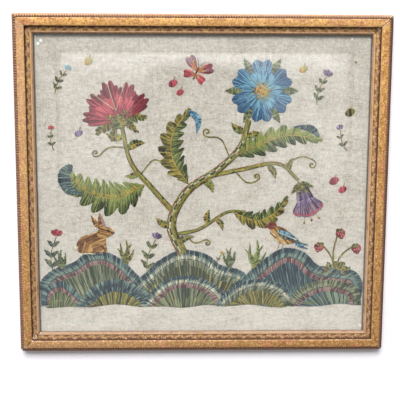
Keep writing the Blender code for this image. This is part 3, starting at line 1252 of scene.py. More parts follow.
    def mesh(self, name, material):
        """All the stitches and knots as one object."""
        points, tints, twists = ([part] for part in self.stitch_parts())
        each = STITCH_RINGS * STITCH_SIDES
        firsts = each * np.arange(len(self.rows))[:, None, None]
        faces = [(grid_faces(STITCH_RINGS, STITCH_SIDES)[None] + firsts).reshape(-1, 4)]
        first = each * len(self.rows)
        turn, tilt = np.meshgrid(np.linspace(0, 2 * math.pi, KNOT_SIDES), KNOT_TILTS)
        for x, y, radius, lift, *tint in self.knots:
            bulge = radius * np.cos(tilt) * (1 + 0.10 * np.sin(3 * turn))
            base = LINEN_LEVEL + float(cloth_height(np.array(x), np.array(y))) + lift
            level = np.minimum(base + radius * 0.75 * np.sin(tilt) - 0.15, PRESSED_LEVEL)
            ball = np.stack([x + bulge * np.cos(turn), y + bulge * np.sin(turn), level], axis=-1)
            points.append(ball.reshape(-1, 3))
            faces.append(grid_faces(len(KNOT_TILTS), KNOT_SIDES, first))
            tints.append(np.tile(tint, (turn.size, 1)))
            twists.append(np.stack([turn.ravel() * radius, tilt.ravel() * 2], axis=1))
            first += turn.size
        made = make_mesh(name, np.vstack(points) * MM, np.vstack(faces).tolist(), material)
        paint = made.data.color_attributes.new("wool_tint", "FLOAT_COLOR", "POINT")
        tint = np.ones((first, 4), np.float32)
        tint[:, :3] = np.vstack(tints)
        paint.data.foreach_set("color", tint.ravel())
        twist = made.data.uv_layers.new(name="twist")
        corners = np.zeros(len(made.data.loops), np.int32)
        made.data.loops.foreach_get("vertex_index", corners)
        twist.data.foreach_set("uv", np.vstack(twists)[corners].astype(np.float32).ravel())
        return made


def wool_material():
    """Two-ply crewel wool: the stitch's own shade, a twist and a soft fuzz."""
    recipe = Recipe("crewel_wool")
    tint = recipe.node("Attribute", {"attribute_name": "wool_tint"}, output="Color")
    where = recipe.place()
    along, around = recipe.axes(recipe.node("UVMap", {"uv_map": "twist"}))
    ply = (along * 5.2 + around * 1.6).math("SINE") * 0.5 + 0.5
    fuzz = recipe.noise(where, 0.35, 3.0, 0.7)
    age = recipe.noise(where, 18.0, 2.0, 0.5)
    round_top = around.math("SINE").math("POWER", 0.6)
    shadow = (ply * 0.20 + fuzz * 0.22 + age * 0.20 + 0.62) * (round_top * 0.64 + 0.36)
    dimmed = recipe.blend(shadow.math("MINIMUM", 1.0), (0.0, 0.0, 0.0), tint)
    recipe.shader.inputs["Sheen Weight"].default_value = 0.25
    recipe.shader.inputs["Sheen Roughness"].default_value = 0.5
    return recipe.finish(
        base_color=dimmed,
        roughness=0.82,
        normal=recipe.relief(ply * 0.6 + fuzz * 0.4, 0.12),
    )


# Shades of wool from the inside of a motif to its outside, as (wool, lightness)
CRIMSON = (("crimson", 0.60), ("crimson", 0.45), ("crimson", 0.28), ("crimson", 0.05))
ROSE = (("crimson", 0.15), ("crimson", 0.40), ("crimson", 0.75), ("crimson", 0.95))
BLUE = (("blue", 0.9), ("blue", 0.65), ("blue", 0.35), ("blue", 0.05))
PALE_BLUE = (("sage", 0.9), ("teal", 0.95), ("blue", 0.85), ("blue", 0.6))
TEAL = (("teal", 0.95), ("teal", 0.55), ("spruce", 0.2), ("spruce", 0.0))
SPRUCE = (("spruce", 0.9), ("spruce", 0.5), ("spruce", 0.15), ("spruce", 0.0))
PURPLE = (("purple", 0.9), ("purple", 0.6), ("purple", 0.3), ("purple", 0.1))
LEAF = (("green", 0.95), ("green", 0.65), ("green", 0.3), ("green", 0.05))
LEAF_LIGHT = (("olive", 0.95), ("green", 0.95), ("green", 0.7))
OLIVE = (("olive", 0.9), ("olive", 0.6), ("olive", 0.3), ("olive", 0.05))
SAGE = (("sage", 0.85), ("sage", 0.45), ("sage", 0.1))
MOSS = (("sage", 0.6), ("olive", 0.4), ("sage", 0.0))
FROST = (("spruce", 0.0), ("teal", 0.2), ("teal", 0.6), ("teal", 0.95))
CREST = (("cream", 0.5), ("teal", 0.95), ("spruce", 0.15), ("spruce", 0.0))
MAUVE = (("mauve", 0.9), ("mauve", 0.5), ("mauve", 0.15))
TAN = (("tan", 0.85), ("tan", 0.6), ("tan", 0.3))
BROWN = (("tan", 0.3), ("tan", 0.05), ("tan", 0.2))
STALK = (("olive", 0.2), ("olive", 0.75), ("green", 0.8), ("tan", 0.3))
GOLD = (("olive", 0.95), ("tan", 0.9))
CREAM = (("cream", 0.9), ("cream", 0.6))
DARK = (("ink", 0.0), ("ink", 0.2))
OUTLINE = (("ink", 0.3), ("spruce", 0.0))


# Hillocks from the back to the front: the top line's knots, the widths of its two
# bands, the wools of the bands and of the ground below them, and where the ground's
# stitches fan out from, as shares of its width
HILLOCKS = (
    (
        (-186 - 132j, -187 - 112j, -172 - 97j, -150 - 89j, -134 - 78j, -112 - 76j,
         -92 - 86j, -78 - 100j, -64 - 114j),
        (10, 5), (TEAL, MAUVE, SAGE), 0.55,
    ),
    (
        (-86 - 118j, -66 - 101j, -50 - 86j, -24 - 74j, 4 - 79j, 22 - 92j, 44 - 98j, 60 - 112j),
        (11, 6), (CREST, SAGE, MOSS), 0.5,
    ),
    (
        (34 - 116j, 52 - 102j, 70 - 86j, 94 - 72j, 118 - 77j, 134 - 92j, 158 - 97j,
         178 - 100j, 187 - 114j, 186 - 132j),
        (11, 6), (TEAL, MAUVE, SPRUCE), 0.55,
    ),
    (
        (-187 - 140j, -186 - 124j, -178 - 115j, -164 - 110j, -150 - 117j, -140 - 128j,
         -132 - 140j),
        (7, 4), (SPRUCE, MAUVE, SAGE), 0.4,
    ),
    (
        (-148 - 140j, -138 - 127j, -120 - 113j, -98 - 108j, -78 - 114j, -62 - 125j, -54 - 140j),
        (9, 5), (FROST, SPRUCE, MOSS), 0.5,
    ),
    (
        (-72 - 140j, -60 - 124j, -42 - 109j, -16 - 104j, 8 - 111j, 24 - 124j, 32 - 140j),
        (9, 5), (CREST, MAUVE, SAGE), 0.5,
    ),
    (
        (14 - 140j, 26 - 125j, 44 - 113j, 66 - 108j, 90 - 114j, 104 - 126j, 112 - 140j),
        (9, 5), (CREST, SAGE, MOSS), 0.5,
    ),
    (
        (96 - 140j, 106 - 126j, 124 - 114j, 146 - 109j, 168 - 113j, 183 - 122j, 186 - 140j),
        (9, 5), (SAGE, MAUVE, TEAL), 0.6,
    ),
)
# How many points the top line and the foot of a hillock have
HILLOCK_POINTS = 200
FOOT_POINTS = 60


def foot_line(start, end):
    """The slightly wavy line that the hillocks stand on, from one x to another."""
    x = np.linspace(start, end, FOOT_POINTS)
    return x + 1j * (-141.0 + 1.3 * np.sin(x / 21.0) + 0.9 * np.sin(x / 8.3 + 1.0))


def above_foot(line):
    """A line with no point below the foot of the hillocks."""
    foot = foot_line(-190, 190)
    return line.real + 1j * np.maximum(line.imag, np.interp(line.real, foot.real, foot.imag) + 0.5)


def hillock_outline(line):
    """The closed outline of a hillock under its top line."""
    return np.concatenate([line, foot_line(line[-1].real, line[0].real)])


def stitch_hillocks(wools):
    """Banded hillocks in long and short stitches, each hiding what lies behind it."""
    wools.vary = 0.27
    wools.pale = 0.24
    lines = [above_foot(smooth_line(row[0], HILLOCK_POINTS)) for row in HILLOCKS]
    outlines = [hillock_outline(line) for line in lines]
    for index, (_, widths, stops, fan) in enumerate(HILLOCKS):
        wools.covered = outlines[index + 1 :]
        line = lines[index]
        down = -sideways(line)
        first = above_foot(line + down * widths[0])
        second = above_foot(line + down * sum(widths))
        lift = 0.05 * index
        left, right = line[0].real, line[-1].real
        middle = left + (right - left) * fan
        spread = (right - left) * 0.30
        foot = foot_line(middle - spread, middle + spread)
        for inner, outer, shades, row, above, pitch, fringe in (
            (foot, second, stops[2], 13.0, 0.0, 0.72, 0.0),
            (second, first, stops[1][::-1], 9.0, 0.10, 0.76, 2.2),
            (first, line, stops[0], 6.0, 0.16, 0.74, 3.0),
        ):
            wools.cover(inner, outer, shades, row, lift + above, pitch, fringe)
        wools.line(first, OUTLINE, 1, lift=lift + 0.40, width=0.8)
        for spot in np.linspace(0.1, 0.9, int((right - left) / 5)):
            root = foot[int(spot * (FOOT_POINTS - 1))] + 1j * wools.random.uniform(0, 5)
            ahead = second[int(spot * (HILLOCK_POINTS - 1))] - root
            reach = min(abs(ahead) * 0.95, wools.random.uniform(9, 17))
            tip = root + ahead / max(abs(ahead), 1e-6) * reach
            wools.stitch(root, tip, wools.shade(LEAF_LIGHT, 0.4), lift + 0.42, 0.75)
    wools.covered = []


def stitch_tufts(wools):
    """Tufts of grass that stand on the hillocks."""
    tufts = (
        (-88, -92, 30, 5, 88, (LEAF, OLIVE)),
        (33, -97, 27, 4, 95, (LEAF, SAGE)),
        (60, -98, 36, 5, 84, (LEAF_LIGHT, LEAF)),
        (-160, -98, 26, 4, 100, (SAGE, LEAF)),
    )
    for x, y, tall, blades, lean, (light, dark) in tufts:
        for blade in range(blades):
            turn = lean + (blade - (blades - 1) / 2) * 17
            reach = tall * (1 - 0.12 * abs(blade - (blades - 1) / 2))
            base = complex(x + (blade - blades / 2) * 1.6, y)
            bend = heading(turn + 90) * 0.08 * reach * (1 if blade % 2 else -1)
            knots = (base, base + heading(turn) * reach * 0.55 + bend, base + heading(turn) * reach)
            wools.leaf(knots, 5.0, light, dark, lift=0.25)


def stitch_tree(wools):
    """The stalks that carry the large flowers and leaves."""
    trunk = (-22 - 80j, -36 - 44j, -18 - 6j, 16 + 18j, 42 + 44j, 52 + 76j)
    for knots, start_width, end_width in (
        ((-30 - 34j, -58 - 2j, -82 + 28j, -92 + 72j), 6.5, 4.0),
        ((10 + 12j, 48 + 20j, 86 + 26j, 110 + 6j), 5.5, 3.2),
        ((-34 - 56j, -4 - 50j, 28 - 30j, 50 - 30j), 4.5, 2.6),
    ):
        wools.stem(knots, start_width, end_width, STALK)
    points = wools.stem(trunk, 12.0, 5.5, STALK, lift=0.3)
    marks = resampled(points[2:70], 46)
    side = sideways(marks)
    taper = np.linspace(3.4, 1.6, len(marks))
    for strand in (-1, 0, 1):
        for index in range(len(marks) - 1):
            dark = (index // 2 + (strand > 0)) % 2
            tint = wools.shade(SPRUCE[2:] if dark else CREAM, 0.5)
            offset = taper[index] + strand * 1.05 - 1.0
            start = marks[index] + side[index] * offset
            wools.stitch(start, marks[index + 1] + side[index + 1] * offset, tint, 0.62, 1.0)
    for knots, way, size in (
        ((-70 + 14j, -56 + 30j, -44 + 26j), 1, 5.5),
        ((34 + 20j, 50 + 4j, 62 + 6j), 1, 5.0),
        ((-22 - 52j, -10 - 66j, 4 - 62j), -1, 4.5),
        ((92 + 24j, 112 + 34j, 126 + 30j), -1, 5.5),
        ((-88 + 44j, -106 + 44j, -118 + 34j), -1, 5.0),
        ((30 + 34j, 20 + 54j, 4 + 56j), -1, 5.5),
    ):
        wools.tendril(knots, OLIVE[:3], way, size)


def stitch_carnation(wools, base, facing, size):
    """A fan of toothed crimson petals on a green cup."""
    along = heading(facing)
    for turn in (-66, 66, -34, 34, 0):
        reach = size * (1.0 - 0.0016 * abs(turn))
        wools.petal(base, facing + turn, 7, reach, 42, CRIMSON, lobes=4, notch=0.13,
                    lift=0.1 + 0.05 * (turn == 0))
    for turn in (-44, 44, -15, 15):
        wools.petal(base, facing + turn, 6, size * 0.66, 34, ROSE, lobes=3, notch=0.12, lift=0.5)
    for turn in (-26, 0, 26):
        tip = base + heading(facing + turn) * size * 0.86
        wools.line(smooth_line((base + along * 12, base + heading(facing + turn * 0.7) * size * 0.5,
                                tip), 30), CREAM, 1, 0.95, width=0.6)
        wools.knot(tip, 1.3, GOLD, 1.0)
    for turn, far, wide in ((-140, 25, 8), (-102, 31, 14), (102, 31, 14), (140, 25, 8)):
        tip = base + heading(facing + turn) * far
        bend = (base + tip) / 2 + along * 3
        wools.leaf((base - along * 4, bend, tip), wide, OLIVE, LEAF, BROWN[:1], 4, lift=0.05)
    cup = (base - along * 9, base - along * 2, base + along * 9)
    wools.leaf(cup, 16, LEAF, OLIVE, GOLD, lift=0.75)
    for turn in (-58, 58):
        tip = base + heading(facing + turn) * 17
        wools.leaf((base - along * 3, (base + tip) / 2 + along * 1.5, tip), 8, LEAF, OLIVE, lift=0.7)


def stitch_rosette(wools, middle, size):
    """A round blue flower with two rings of petals and a gold middle."""
    for index in range(6):
        turn = 60 * index
        tip = middle + heading(turn) * size * 1.12
        root = middle + heading(turn) * size * 0.6
        wools.leaf((root, (root + tip) / 2, tip), size * 0.26, LEAF, SAGE, lift=0.05)
    for index in range(6):
        wools.petal(middle, 30 + 60 * index, size * 0.2, size, 64, BLUE, lobes=2, notch=0.16,
                    lift=0.15 + 0.06 * (index % 2), blunt=2.4)
    for index in range(6):
        wools.petal(middle, 60 * index, size * 0.14, size * 0.60, 58, PALE_BLUE, lift=0.5,
                    blunt=2.2)
    wools.berry(middle, size * 0.20, GOLD, lift=0.75)
    for index in range(9):
        wools.knot(middle + heading(40 * index) * size * 0.22, 1.5, TAN, 0.7)
    for index in range(4):
        wools.knot(middle + heading(90 * index + 20) * size * 0.09, 1.3, BROWN, 1.0)


def stitch_bell(wools, base, facing, size):
    """A hanging purple bell with a turned lip and a green cap."""
    share = np.linspace(-1, 1, 60)
    along = heading(facing)
    side = along * 1j
    crown = base + along * (2.5 - 2.5 * share**2) + side * share * size * 0.16
    scallop = 1 + 0.10 * np.abs(np.sin(share * math.pi * 2))
    mouth = base + along * size * (0.98 - 0.20 * share**2) * scallop + side * share * size * 0.50
    waist = base + along * size * 0.52 + side * share * size * 0.27
    wools.cover(crown, waist, (("purple", 0.15), ("purple", 0.45), ("purple", 0.7)), row=8, lift=0.2)
    wools.cover(waist, mouth, (("purple", 0.75), ("purple", 0.5), ("mauve", 0.9)), row=8, lift=0.2)
    wools.line(mouth, (("purple", 0.95), ("crimson", 0.9)), 2, 0.5)
    for shift in (-0.5, 0.0, 0.5):
        rib = (base + along * size * 0.16 + side * shift * size * 0.14,
               base + along * size * 0.55 + side * shift * size * 0.34,
               base + along * size * 0.92 + side * shift * size * 0.56)
        wools.line(smooth_line(rib, 30), (("purple", 0.0),), 1, 0.6, width=0.7)
        tip = base + along * size * 1.22 + side * shift * size * 0.5
        wools.line(smooth_line((base + along * size * 0.95 + side * shift * size * 0.3, tip), 12),
                   GOLD, 1, 0.2, width=0.6)
        wools.knot(tip, 1.4, TAN, 0.2)
    for turn in (-62, 62, -24, 24):
        tip = base + heading(facing + turn) * size * 0.42
        wools.leaf((base - along * 3, (base * 0.45 + tip * 0.55) - along, tip), size * 0.17,
                   LEAF, OLIVE, lift=0.65)


def stitch_large_leaves(wools):
    """The broad toothed leaves of the tree."""
    broad = (
        ((-66 + 2j, -98 - 14j, -132 - 6j, -158 + 20j), 38, 9, LEAF, LEAF_LIGHT),
        ((34 + 34j, 62 + 46j, 98 + 58j, 136 + 52j), 26, 8, LEAF_LIGHT, LEAF),
        ((-16 + 2j, -34 + 30j, -34 + 60j, -14 + 88j), 27, 8, OLIVE, LEAF),
        ((34 - 30j, 62 - 40j, 84 - 30j, 98 - 12j), 20, 7, LEAF, OLIVE),
    )
    for knots, width, teeth, upper, lower in broad:
        wools.leaf(knots, width, upper, lower, GOLD, teeth, lift=0.15)
    turned = (
        ((-148 + 25j, -157 + 12j, -152 - 4j, -137 - 9j), 15, TEAL),
        ((132 + 56j, 122 + 66j, 102 + 68j), 8, TEAL),
        ((-17 + 86j, -6 + 76j, -7 + 60j), 8, BLUE),
    )
    for knots, width, stops in turned:
        wools.leaf(knots, width, stops, stops, lift=0.55)


def stitch_small_leaves(wools):
    """Small leaves along the stalks."""
    small = (
        (-36, -46, 152, 20, 9, OLIVE),
        (-72, 16, 196, 17, 8, LEAF_LIGHT),
        (-86, 42, 20, 22, 10, LEAF),
        (-90, 56, 168, 20, 9, OLIVE),
        (48, 62, 148, 19, 9, LEAF),
        (50, 56, 10, 17, 8, OLIVE),
        (74, 24, -60, 18, 8, LEAF),
        (98, 18, 70, 15, 7, OLIVE),
        (0, 8, -52, 20, 9, LEAF_LIGHT),
        (6, -44, 84, 17, 8, OLIVE),
        (-28, -66, 22, 20, 9, SAGE),
        (16, -38, -62, 15, 7, LEAF),
    )
    for x, y, turn, long, wide, stops in small:
        base = complex(x, y)
        bend = heading(turn + 90) * long * 0.12
        knots = (base, base + heading(turn) * long * 0.5 + bend, base + heading(turn) * long)
        wools.leaf(knots, wide, stops, LEAF if stops is not LEAF else OLIVE, GOLD, lift=0.2)


def placed(origin, size, facing):
    """What puts a place of a small drawing, which may be mirrored, onto the cloth."""
    def at(x, y):
        return complex(x * facing, y) * size + origin

    return at


def shape(corners, at):
    """A smooth closed outline from the corners of a small drawing."""
    return smooth_line([at(x, y) for x, y in corners], 70, closed=True)


def stitch_rabbit(wools, origin, size, facing):
    """A sitting rabbit, seen from the side."""
    at = placed(origin, size, facing)
    body = (
        (-20, 3), (-23, 13), (-17, 23), (-5, 28), (6, 31), (15, 30), (19, 20), (18, 9), (13, 1),
        (-4, 0),
    )
    haunch = ((-20, 3), (-19, 12), (-11, 18), (-3, 14), (0, 5), (-8, 1))
    head = ((6, 27), (8, 35), (15, 39), (23, 38), (30, 32), (27, 27), (16, 23))
    wools.leaf((at(12, 36), at(4, 45), at(-2, 55)), 8 * size, BROWN, TAN, lift=0.15)
    for corners, slope, lights, row, lift in (
        (body, 24, (0.85, 0.45, 0.05), 5.5, 0.15),
        (haunch, 74, (0.9, 0.6, 0.35), 5.0, 0.45),
        (head, -18, (0.8, 0.55, 0.4), 4.5, 0.35),
    ):
        stops = [("tan", light) for light in lights]
        wools.fill(shape(corners, at), slope * facing, stops, row, lift)
    for knots, width, upper, lower, lift in (
        ((at(16, 37), at(12, 47), at(10, 59)), 9, TAN, MAUVE[:1], 0.4),
        ((at(13, 15), at(17, 8), at(20, 0)), 6, TAN, BROWN, 0.5),
        ((at(-15, 1), at(-6, 2), at(4, 0)), 5, TAN, CREAM, 0.5),
    ):
        wools.leaf(knots, width * size, upper, lower, lift=lift)
    wools.berry(at(-24, 9), 4.2 * size, CREAM, 30, lift=0.3)
    wools.knot(at(22, 33.5), 2.0 * size, DARK, 1.0)
    wools.stitch(at(30.5, 31), at(28.5, 28.5), wools.shade(DARK, 0.5), 0.7, 0.8)


def stitch_bird(wools, origin, size, facing):
    """A small bird that stands with its tail down."""
    at = placed(origin, size, facing)
    body = ((15, 29), (6, 30), (-5, 25), (-16, 15), (-20, 7), (-10, 3), (2, 4), (12, 10), (18, 20))
    head = ((9, 27), (9, 34), (15, 37), (21, 34), (22, 28), (16, 25))
    breast = (("cream", 0.8), ("tan", 0.8), ("tan", 0.4), ("tan", 0.2))
    for drop in (0, 3):
        tail = (at(-15, 10), at(-26, 4 - drop), at(-38, 2 - 2 * drop))
        wools.leaf(tail, 6 * size, TEAL, BLUE, lift=0.1)
    for step in (-2, 4):
        leg = smooth_line((at(step, 5), at(step + 1, -1), at(step + 4, -5)), 12)
        wools.line(leg, BROWN, 1, 0.1, width=0.7)
    wools.fill(shape(body, at), 48 * facing, breast, row=5.0, lift=0.2)
    wools.fill(shape(head, at), 20 * facing, (("crimson", 0.5), ("tan", 0.4)), row=4.5, lift=0.35)
    wools.leaf((at(8, 22), at(-6, 16), at(-24, 9)), 12 * size, BLUE, TEAL, CREAM[:1], lift=0.5)
    wools.leaf((at(21, 32), at(25, 31), at(29, 30)), 2.8 * size, GOLD, BROWN, lift=0.35)
    wools.knot(at(17, 32.5), 1.7 * size, DARK, 1.0)


def stitch_butterfly(wools, origin, facing, size):
    """A butterfly with its wings open."""
    back = (("crimson", 0.9), ("tan", 0.9), ("crimson", 0.45), ("purple", 0.1))
    hind = (("tan", 0.95), ("crimson", 0.8), ("crimson", 0.3))
    along = heading(facing)
    for sign in (-1, 1):
        wools.petal(origin - along * 1.5, facing + sign * 112, 1.5, size * 0.72, 62, hind, lift=0.15,
                    lobes=2)
        wools.petal(origin + along * 1.5, facing + sign * 52, 1.5, size, 58, back, lift=0.2, lobes=2)
        spot = origin + heading(facing + sign * 54) * size * 0.66
        wools.knot(spot, 1.5, PALE_BLUE, 0.6)
        feeler = (origin + along * size * 0.3, origin + heading(facing + sign * 12) * size * 0.62,
                  origin + heading(facing + sign * 20) * size * 0.85)
        wools.line(smooth_line(feeler, 16), DARK, 1, 0.15, width=0.5)
    wools.line(smooth_line((origin - along * size * 0.42, origin, origin + along * size * 0.34), 20),
               BROWN, 2, 0.6)


def stitch_strawberries(wools, base, tips):
    """A low plant with hanging strawberries."""
    for tip, curl in tips:
        bend = (base + tip) / 2 + 1j * (tip - base) * curl
        line = smooth_line((base, bend, tip), 40)
        wools.line(line, OLIVE[:3], 2, 0.15)
        fall = complex(0.25 * (1 if tip.real > base.real else -1), -1)
        wools.leaf((tip, tip + fall * 6, tip + fall * 12), 12, ROSE, CRIMSON, lift=0.25)
        for row, count in ((3, 2), (6, 3), (9, 1)):
            for spot in range(count):
                place = tip + fall * row + (spot - (count - 1) / 2) * 2.6
                wools.knot(place, 0.65, CREAM, 0.75)
        for turn in (200, 250, 300, 345):
            wools.leaf((tip, tip + heading(turn) * 3, tip + heading(turn) * 5.5), 3, LEAF, LEAF,
                       lift=0.6)
    for turn, far in ((150, 17), (62, 16), (24, 18)):
        root = base + heading(turn) * far * 0.4
        wools.line(np.array([base, root]), OLIVE[:2], 1, 0.15)
        for part in (-48, 0, 48):
            tip = root + heading(turn + part) * far * 0.72
            wools.leaf((root, (root + tip) / 2, tip), 8, LEAF, SAGE, GOLD, 4, 0.2)


def stitch_sprig(wools, base, turn, reach, pairs, stops, tip_stops, tip_size):
    """A loose spray: a bent stalk with leaves on both sides and a bud at its tip."""
    along = heading(turn)
    knots = (base, base + along * reach * 0.5 + along * 1j * reach * 0.10, base + along * reach)
    line = smooth_line(knots, 40)
    wools.line(line, OLIVE[:3], 1, 0.12)
    for index in range(pairs):
        spot = line[int(40 * (index + 0.7) / (pairs + 0.8))]
        long = reach * 0.30 * (1 - 0.08 * index)
        for sign in (-1, 1):
            end = spot + heading(turn + sign * 48) * long
            bend = (spot + end) / 2 + along * long * 0.10
            wools.leaf((spot, bend, end), long * 0.42, stops, SAGE if stops is not SAGE else LEAF,
                       lift=0.15)
    tip = line[-1]
    for sign in (-1, 0, 1):
        wools.petal(tip, turn + sign * 40, 1.0, tip_size, 52, tip_stops, lift=0.2)


def stitch_sprays(wools):
    """The small loose sprays and berries scattered over the ground."""
    sprays = (
        (-166, 104, 62, 30, 3, SAGE, PALE_BLUE, 6),
        (128, 92, 72, 34, 3, SAGE, PURPLE, 8),
        (-168, 40, 96, 24, 2, SAGE, ROSE, 5),
        (164, 40, 108, 26, 2, LEAF, PURPLE, 6),
        (-172, -102, 84, 44, 3, TEAL, CRIMSON, 9),
        (-64, -104, 76, 44, 3, LEAF, PURPLE, 8),
        (14, -98, 66, 20, 2, OLIVE, GOLD, 4),
    )
    for x, y, turn, reach, pairs, stops, tip, tip_size in sprays:
        stitch_sprig(wools, complex(x, y), turn, reach, pairs, stops, tip, tip_size)
    berries = (
        (-34, 116, 4.2, CRIMSON), (-26, 106, 3.6, ROSE), (150, 6, 4.6, CRIMSON), (160, -4, 4.0, ROSE),
        (112, 132, 4.0, GOLD), (-128, 140, 4.4, GOLD), (-140, 60, 3.8, PURPLE), (166, 84, 4.6, OLIVE),
    )
    for x, y, radius, stops in berries:
        place = complex(x, y)
        wools.berry(place, radius, stops, 35, 1.25)
        wools.line(np.array([place + 4j + 1, place + 8j + 2.5]), OLIVE[:2], 1, 0.15)


def embroider(name, seed, context, *steps):
    """Works the steps of one part of the design and adds them as one piece."""
    wools = Wools(seed, context.scene.crewel_wool)
    for step, *values in steps:
        step(wools, *values)
    material = bpy.data.materials.get("crewel_wool") or wool_material()
    piece = wools.mesh(name, material)
    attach(piece, "root")


class CREWEL_OT_add_hillocks(bpy.types.Operator):
    """Works the banded hillocks along the bottom and the grass on them"""

    bl_idname = "crewel.add_hillocks"
    bl_label = "Hillocks"

    def execute(self, context):
        embroider("hillocks", 11, context, (stitch_hillocks,))
        embroider("grass_tufts", 12, context, (stitch_tufts,))
        return {"FINISHED"}


class CREWEL_OT_add_tree(bpy.types.Operator):
    """Works the stalks, the tendrils and the leaves"""

    bl_idname = "crewel.add_tree"
    bl_label = "Stalks and leaves"

    def execute(self, context):
        embroider("stalks", 21, context, (stitch_tree,))
        embroider("leaves", 22, context, (stitch_large_leaves,), (stitch_small_leaves,))
        return {"FINISHED"}


class CREWEL_OT_add_flowers(bpy.types.Operator):
    """Works the three large flowers"""

    bl_idname = "crewel.add_flowers"
    bl_label = "Flowers"

    def execute(self, context):
        embroider("carnation", 31, context, (stitch_carnation, -94 + 74j, 108, 47))
        embroider("blue_rosette", 32, context, (stitch_rosette, 66 + 108j, 37))
        embroider("purple_bell", 33, context, (stitch_bell, 112 + 2j, -72, 36))
        return {"FINISHED"}


class CREWEL_OT_add_creatures(bpy.types.Operator):
    """Works the rabbit, the bird and the butterfly"""

    bl_idname = "crewel.add_creatures"
    bl_label = "Creatures"

    def execute(self, context):
        embroider("rabbit", 41, context, (stitch_rabbit, -126 - 79j, 0.82, 1))
        embroider("bird", 42, context, (stitch_bird, 92 - 70.5j, 0.80, -1))
        embroider("butterfly", 43, context, (stitch_butterfly, -8 + 128j, 65, 20))
        return {"FINISHED"}


class CREWEL_OT_add_sprays(bpy.types.Operator):
    """Works the strawberries, the loose sprays and the berries"""

    bl_idname = "crewel.add_sprays"
    bl_label = "Sprays and berries"

    def execute(self, context):
        tips = ((136 - 66j, -0.12), (158 - 50j, 0.08), (177 - 68j, 0.16))
        embroider("strawberries", 51, context, (stitch_strawberries, 154 - 104j, tips))
        embroider("sprays", 52, context, (stitch_sprays,))
        return {"FINISHED"}


# The camera stands where the photo's frame corners meet its pixels
CAMERA_PLACE = (-0.0330, 0.1474, 1.0202)
CAMERA_TURN = (-9.155, -1.649, 0.243)
CAMERA_LENS = 81.0
# The lamp beyond the top edge, the floor and the softbox overhead, in metres
LAMP_PLACE = (-0.75, 4.95, 6.3)
LAMP_SIZE = 3.4
FLOOR_REACH = 4.0
SOFTBOX_CORNERS = ((-0.8, -1.2), (0.8, 0.3))
SOFTBOX_LEVEL = 1.6


def add_camera(scene):
    """The camera at the photo's angle to the face."""
    data = bpy.data.cameras.new("view_camera")
    data.lens = CAMERA_LENS
    data.sensor_width = 36.0
    data.clip_end = 20.0
    camera = bpy.data.objects.new("view_camera", data)
    camera.location = CAMERA_PLACE
    camera.rotation_euler = tuple(math.radians(angle) for angle in CAMERA_TURN)
    scene.collection.objects.link(camera)
    scene.camera = camera


def add_lamp(scene, settings):
    """A square lamp that points at the middle of the panel."""
    data = bpy.data.lights.new("key_lamp", "AREA")
    data.shape = "SQUARE"
    data.size = LAMP_SIZE
    data.energy = settings.key
    lamp = bpy.data.objects.new("key_lamp", data)
    lamp.location = LAMP_PLACE
    aim = Vector((0, 0, 0)) - Vector(LAMP_PLACE)
    lamp.rotation_euler = aim.to_track_quat("-Z", "Y").to_euler()
    scene.collection.objects.link(lamp)


def flat_piece(name, low, high, level, order, material):
    """A rectangle that lies flat, from its two corners, with its face's own order."""
    outline = ((low[0], low[1]), (high[0], low[1]), (high[0], high[1]), (low[0], high[1]))
    corners = np.array([(*corner, level) for corner in outline])
    return make_mesh(name, corners, [order], material, smooth=False)


def add_floor(settings):
    """The wide pale surface under the frame."""
    recipe = Recipe("pale_floor")
    cloud = recipe.noise(recipe.place(), 300.0, 1.0, 0.4)
    light = tuple(settings.floor)
    dim = tuple(channel * 0.985 for channel in light)
    recipe.finish(base_color=recipe.blend(cloud, light, dim), roughness=0.85)
    low = (-FLOOR_REACH, -FLOOR_REACH)
    high = (FLOOR_REACH, FLOOR_REACH)
    flat_piece("floor", low, high, 0, (0, 1, 2, 3), recipe.material)


def add_softbox(settings):
    """The softbox overhead whose soft-edged reflection lies on the upper glass."""
    recipe = Recipe("softbox_cloth")
    x, y = recipe.axes(recipe.place())
    wide = recipe.rise(x, -372, -345) * (1 - recipe.rise(x, 452, 486))
    tall = recipe.rise(y, -330, -150) * (1 - recipe.rise(y, 146, 160))
    gap_x = ((x - 38) / 200).math("ABSOLUTE").math("POWER", 3.5)
    gap_y = ((y + 190) / 315).math("ABSOLUTE").math("POWER", 3.5)
    gap = 1 - recipe.rise(gap_x + gap_y, 0.8, 1.2)
    glow = wide * tall * (1 - gap * 0.8) * (recipe.rise(y, 70, 150) * 0.58 + 0.42)
    glow = glow + (1 - recipe.rise(y, -520, -230)) * 0.24
    light = recipe.node("Emission", None, {"Strength": glow * settings.veil})
    clear = recipe.node("BsdfTransparent")
    lit = glow.math("GREATER_THAN", 0.001)
    recipe.surface(recipe.node("MixShader", None, {0: lit, 1: clear, 2: light}))
    box = flat_piece("softbox", *SOFTBOX_CORNERS, SOFTBOX_LEVEL, (3, 2, 1, 0), recipe.material)
    box.visible_camera = False
    box.visible_shadow = False
    box.visible_diffuse = False


def add_room(scene, settings):
    """Even light from all round, a little weaker from the side of the lower edge."""
    world = bpy.data.worlds.new("studio")
    world.use_nodes = True
    tree = world.node_tree
    where = tree.nodes.new("ShaderNodeTexCoord").outputs["Generated"]
    apart = tree.nodes.new("ShaderNodeSeparateXYZ")
    tree.links.new(where, apart.inputs[0])
    level = Wire(tree, apart.outputs["Y"]) * 0.95 - Wire(tree, apart.outputs["X"]) * 0.60 + 1.0
    level = level.math("MAXIMUM", 0.2)
    background = tree.nodes["Background"]
    background.inputs["Color"].default_value = (1.0, 0.99, 0.985, 1.0)
    feed(tree, background.inputs["Strength"], level * settings.room)
    scene.world = world


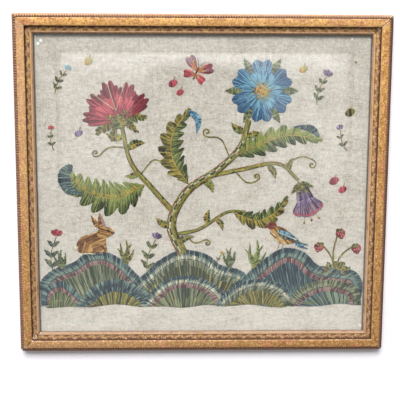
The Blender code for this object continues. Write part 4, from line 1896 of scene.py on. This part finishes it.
class CREWEL_OT_add_stage(bpy.types.Operator):
    """Adds the camera, the pale floor and the studio light"""

    bl_idname = "crewel.add_stage"
    bl_label = "Stage"

    def execute(self, context):
        scene = context.scene
        settings = scene.crewel_stage
        add_camera(scene)
        add_floor(settings)
        add_softbox(settings)
        add_lamp(scene, settings)
        add_room(scene, settings)
        scene.view_settings.view_transform = "Standard"
        return {"FINISHED"}


OPERATORS = (
    CREWEL_OT_add_frame,
    CREWEL_OT_add_glass,
    CREWEL_OT_add_linen,
    CREWEL_OT_add_hillocks,
    CREWEL_OT_add_tree,
    CREWEL_OT_add_flowers,
    CREWEL_OT_add_creatures,
    CREWEL_OT_add_sprays,
    CREWEL_OT_add_stage,
)
SETTINGS = {
    "crewel_frame": CrewelFrameSettings,
    "crewel_cloth": CrewelClothSettings,
    "crewel_wool": CrewelWoolSettings,
    "crewel_stage": CrewelStageSettings,
}


class CREWEL_PT_panel(bpy.types.Panel):
    """Lists the pieces and their sizes and colours in the sidebar"""

    bl_idname = "CREWEL_PT_panel"
    bl_label = "Framed crewel panel"
    bl_space_type = "VIEW_3D"
    bl_region_type = "UI"
    bl_category = "Crewel"

    def draw(self, context):
        for operator in OPERATORS:
            self.layout.operator(operator.bl_idname)
        for name, group in SETTINGS.items():
            box = self.layout.box()
            box.label(text=group.__doc__)
            for key in group.__annotations__:
                box.prop(getattr(context.scene, name), key)


def register():
    """Registers the settings, operators and panel."""
    for name, group in SETTINGS.items():
        bpy.utils.register_class(group)
        setattr(bpy.types.Scene, name, bpy.props.PointerProperty(type=group))
    for operator in OPERATORS:
        bpy.utils.register_class(operator)
    bpy.utils.register_class(CREWEL_PT_panel)


def unregister():
    """Takes everything out again."""
    bpy.utils.unregister_class(CREWEL_PT_panel)
    for operator in reversed(OPERATORS):
        bpy.utils.unregister_class(operator)
    for name, group in SETTINGS.items():
        delattr(bpy.types.Scene, name)
        bpy.utils.unregister_class(group)


def clear_scene():
    """Removes what the scene starts with, but not the packed model."""
    kept = set(frame["nodes"].values()) | set(frame["bodies"].values())
    for item in list(bpy.data.objects):
        if item not in kept:
            bpy.data.objects.remove(item, do_unlink=True)


def main():
    """Builds every piece in turn."""
    clear_scene()
    register()
    for operator in OPERATORS:
        group, name = operator.bl_idname.split(".")
        getattr(getattr(bpy.ops, group), name)()


if __name__ == "__main__":
    main()
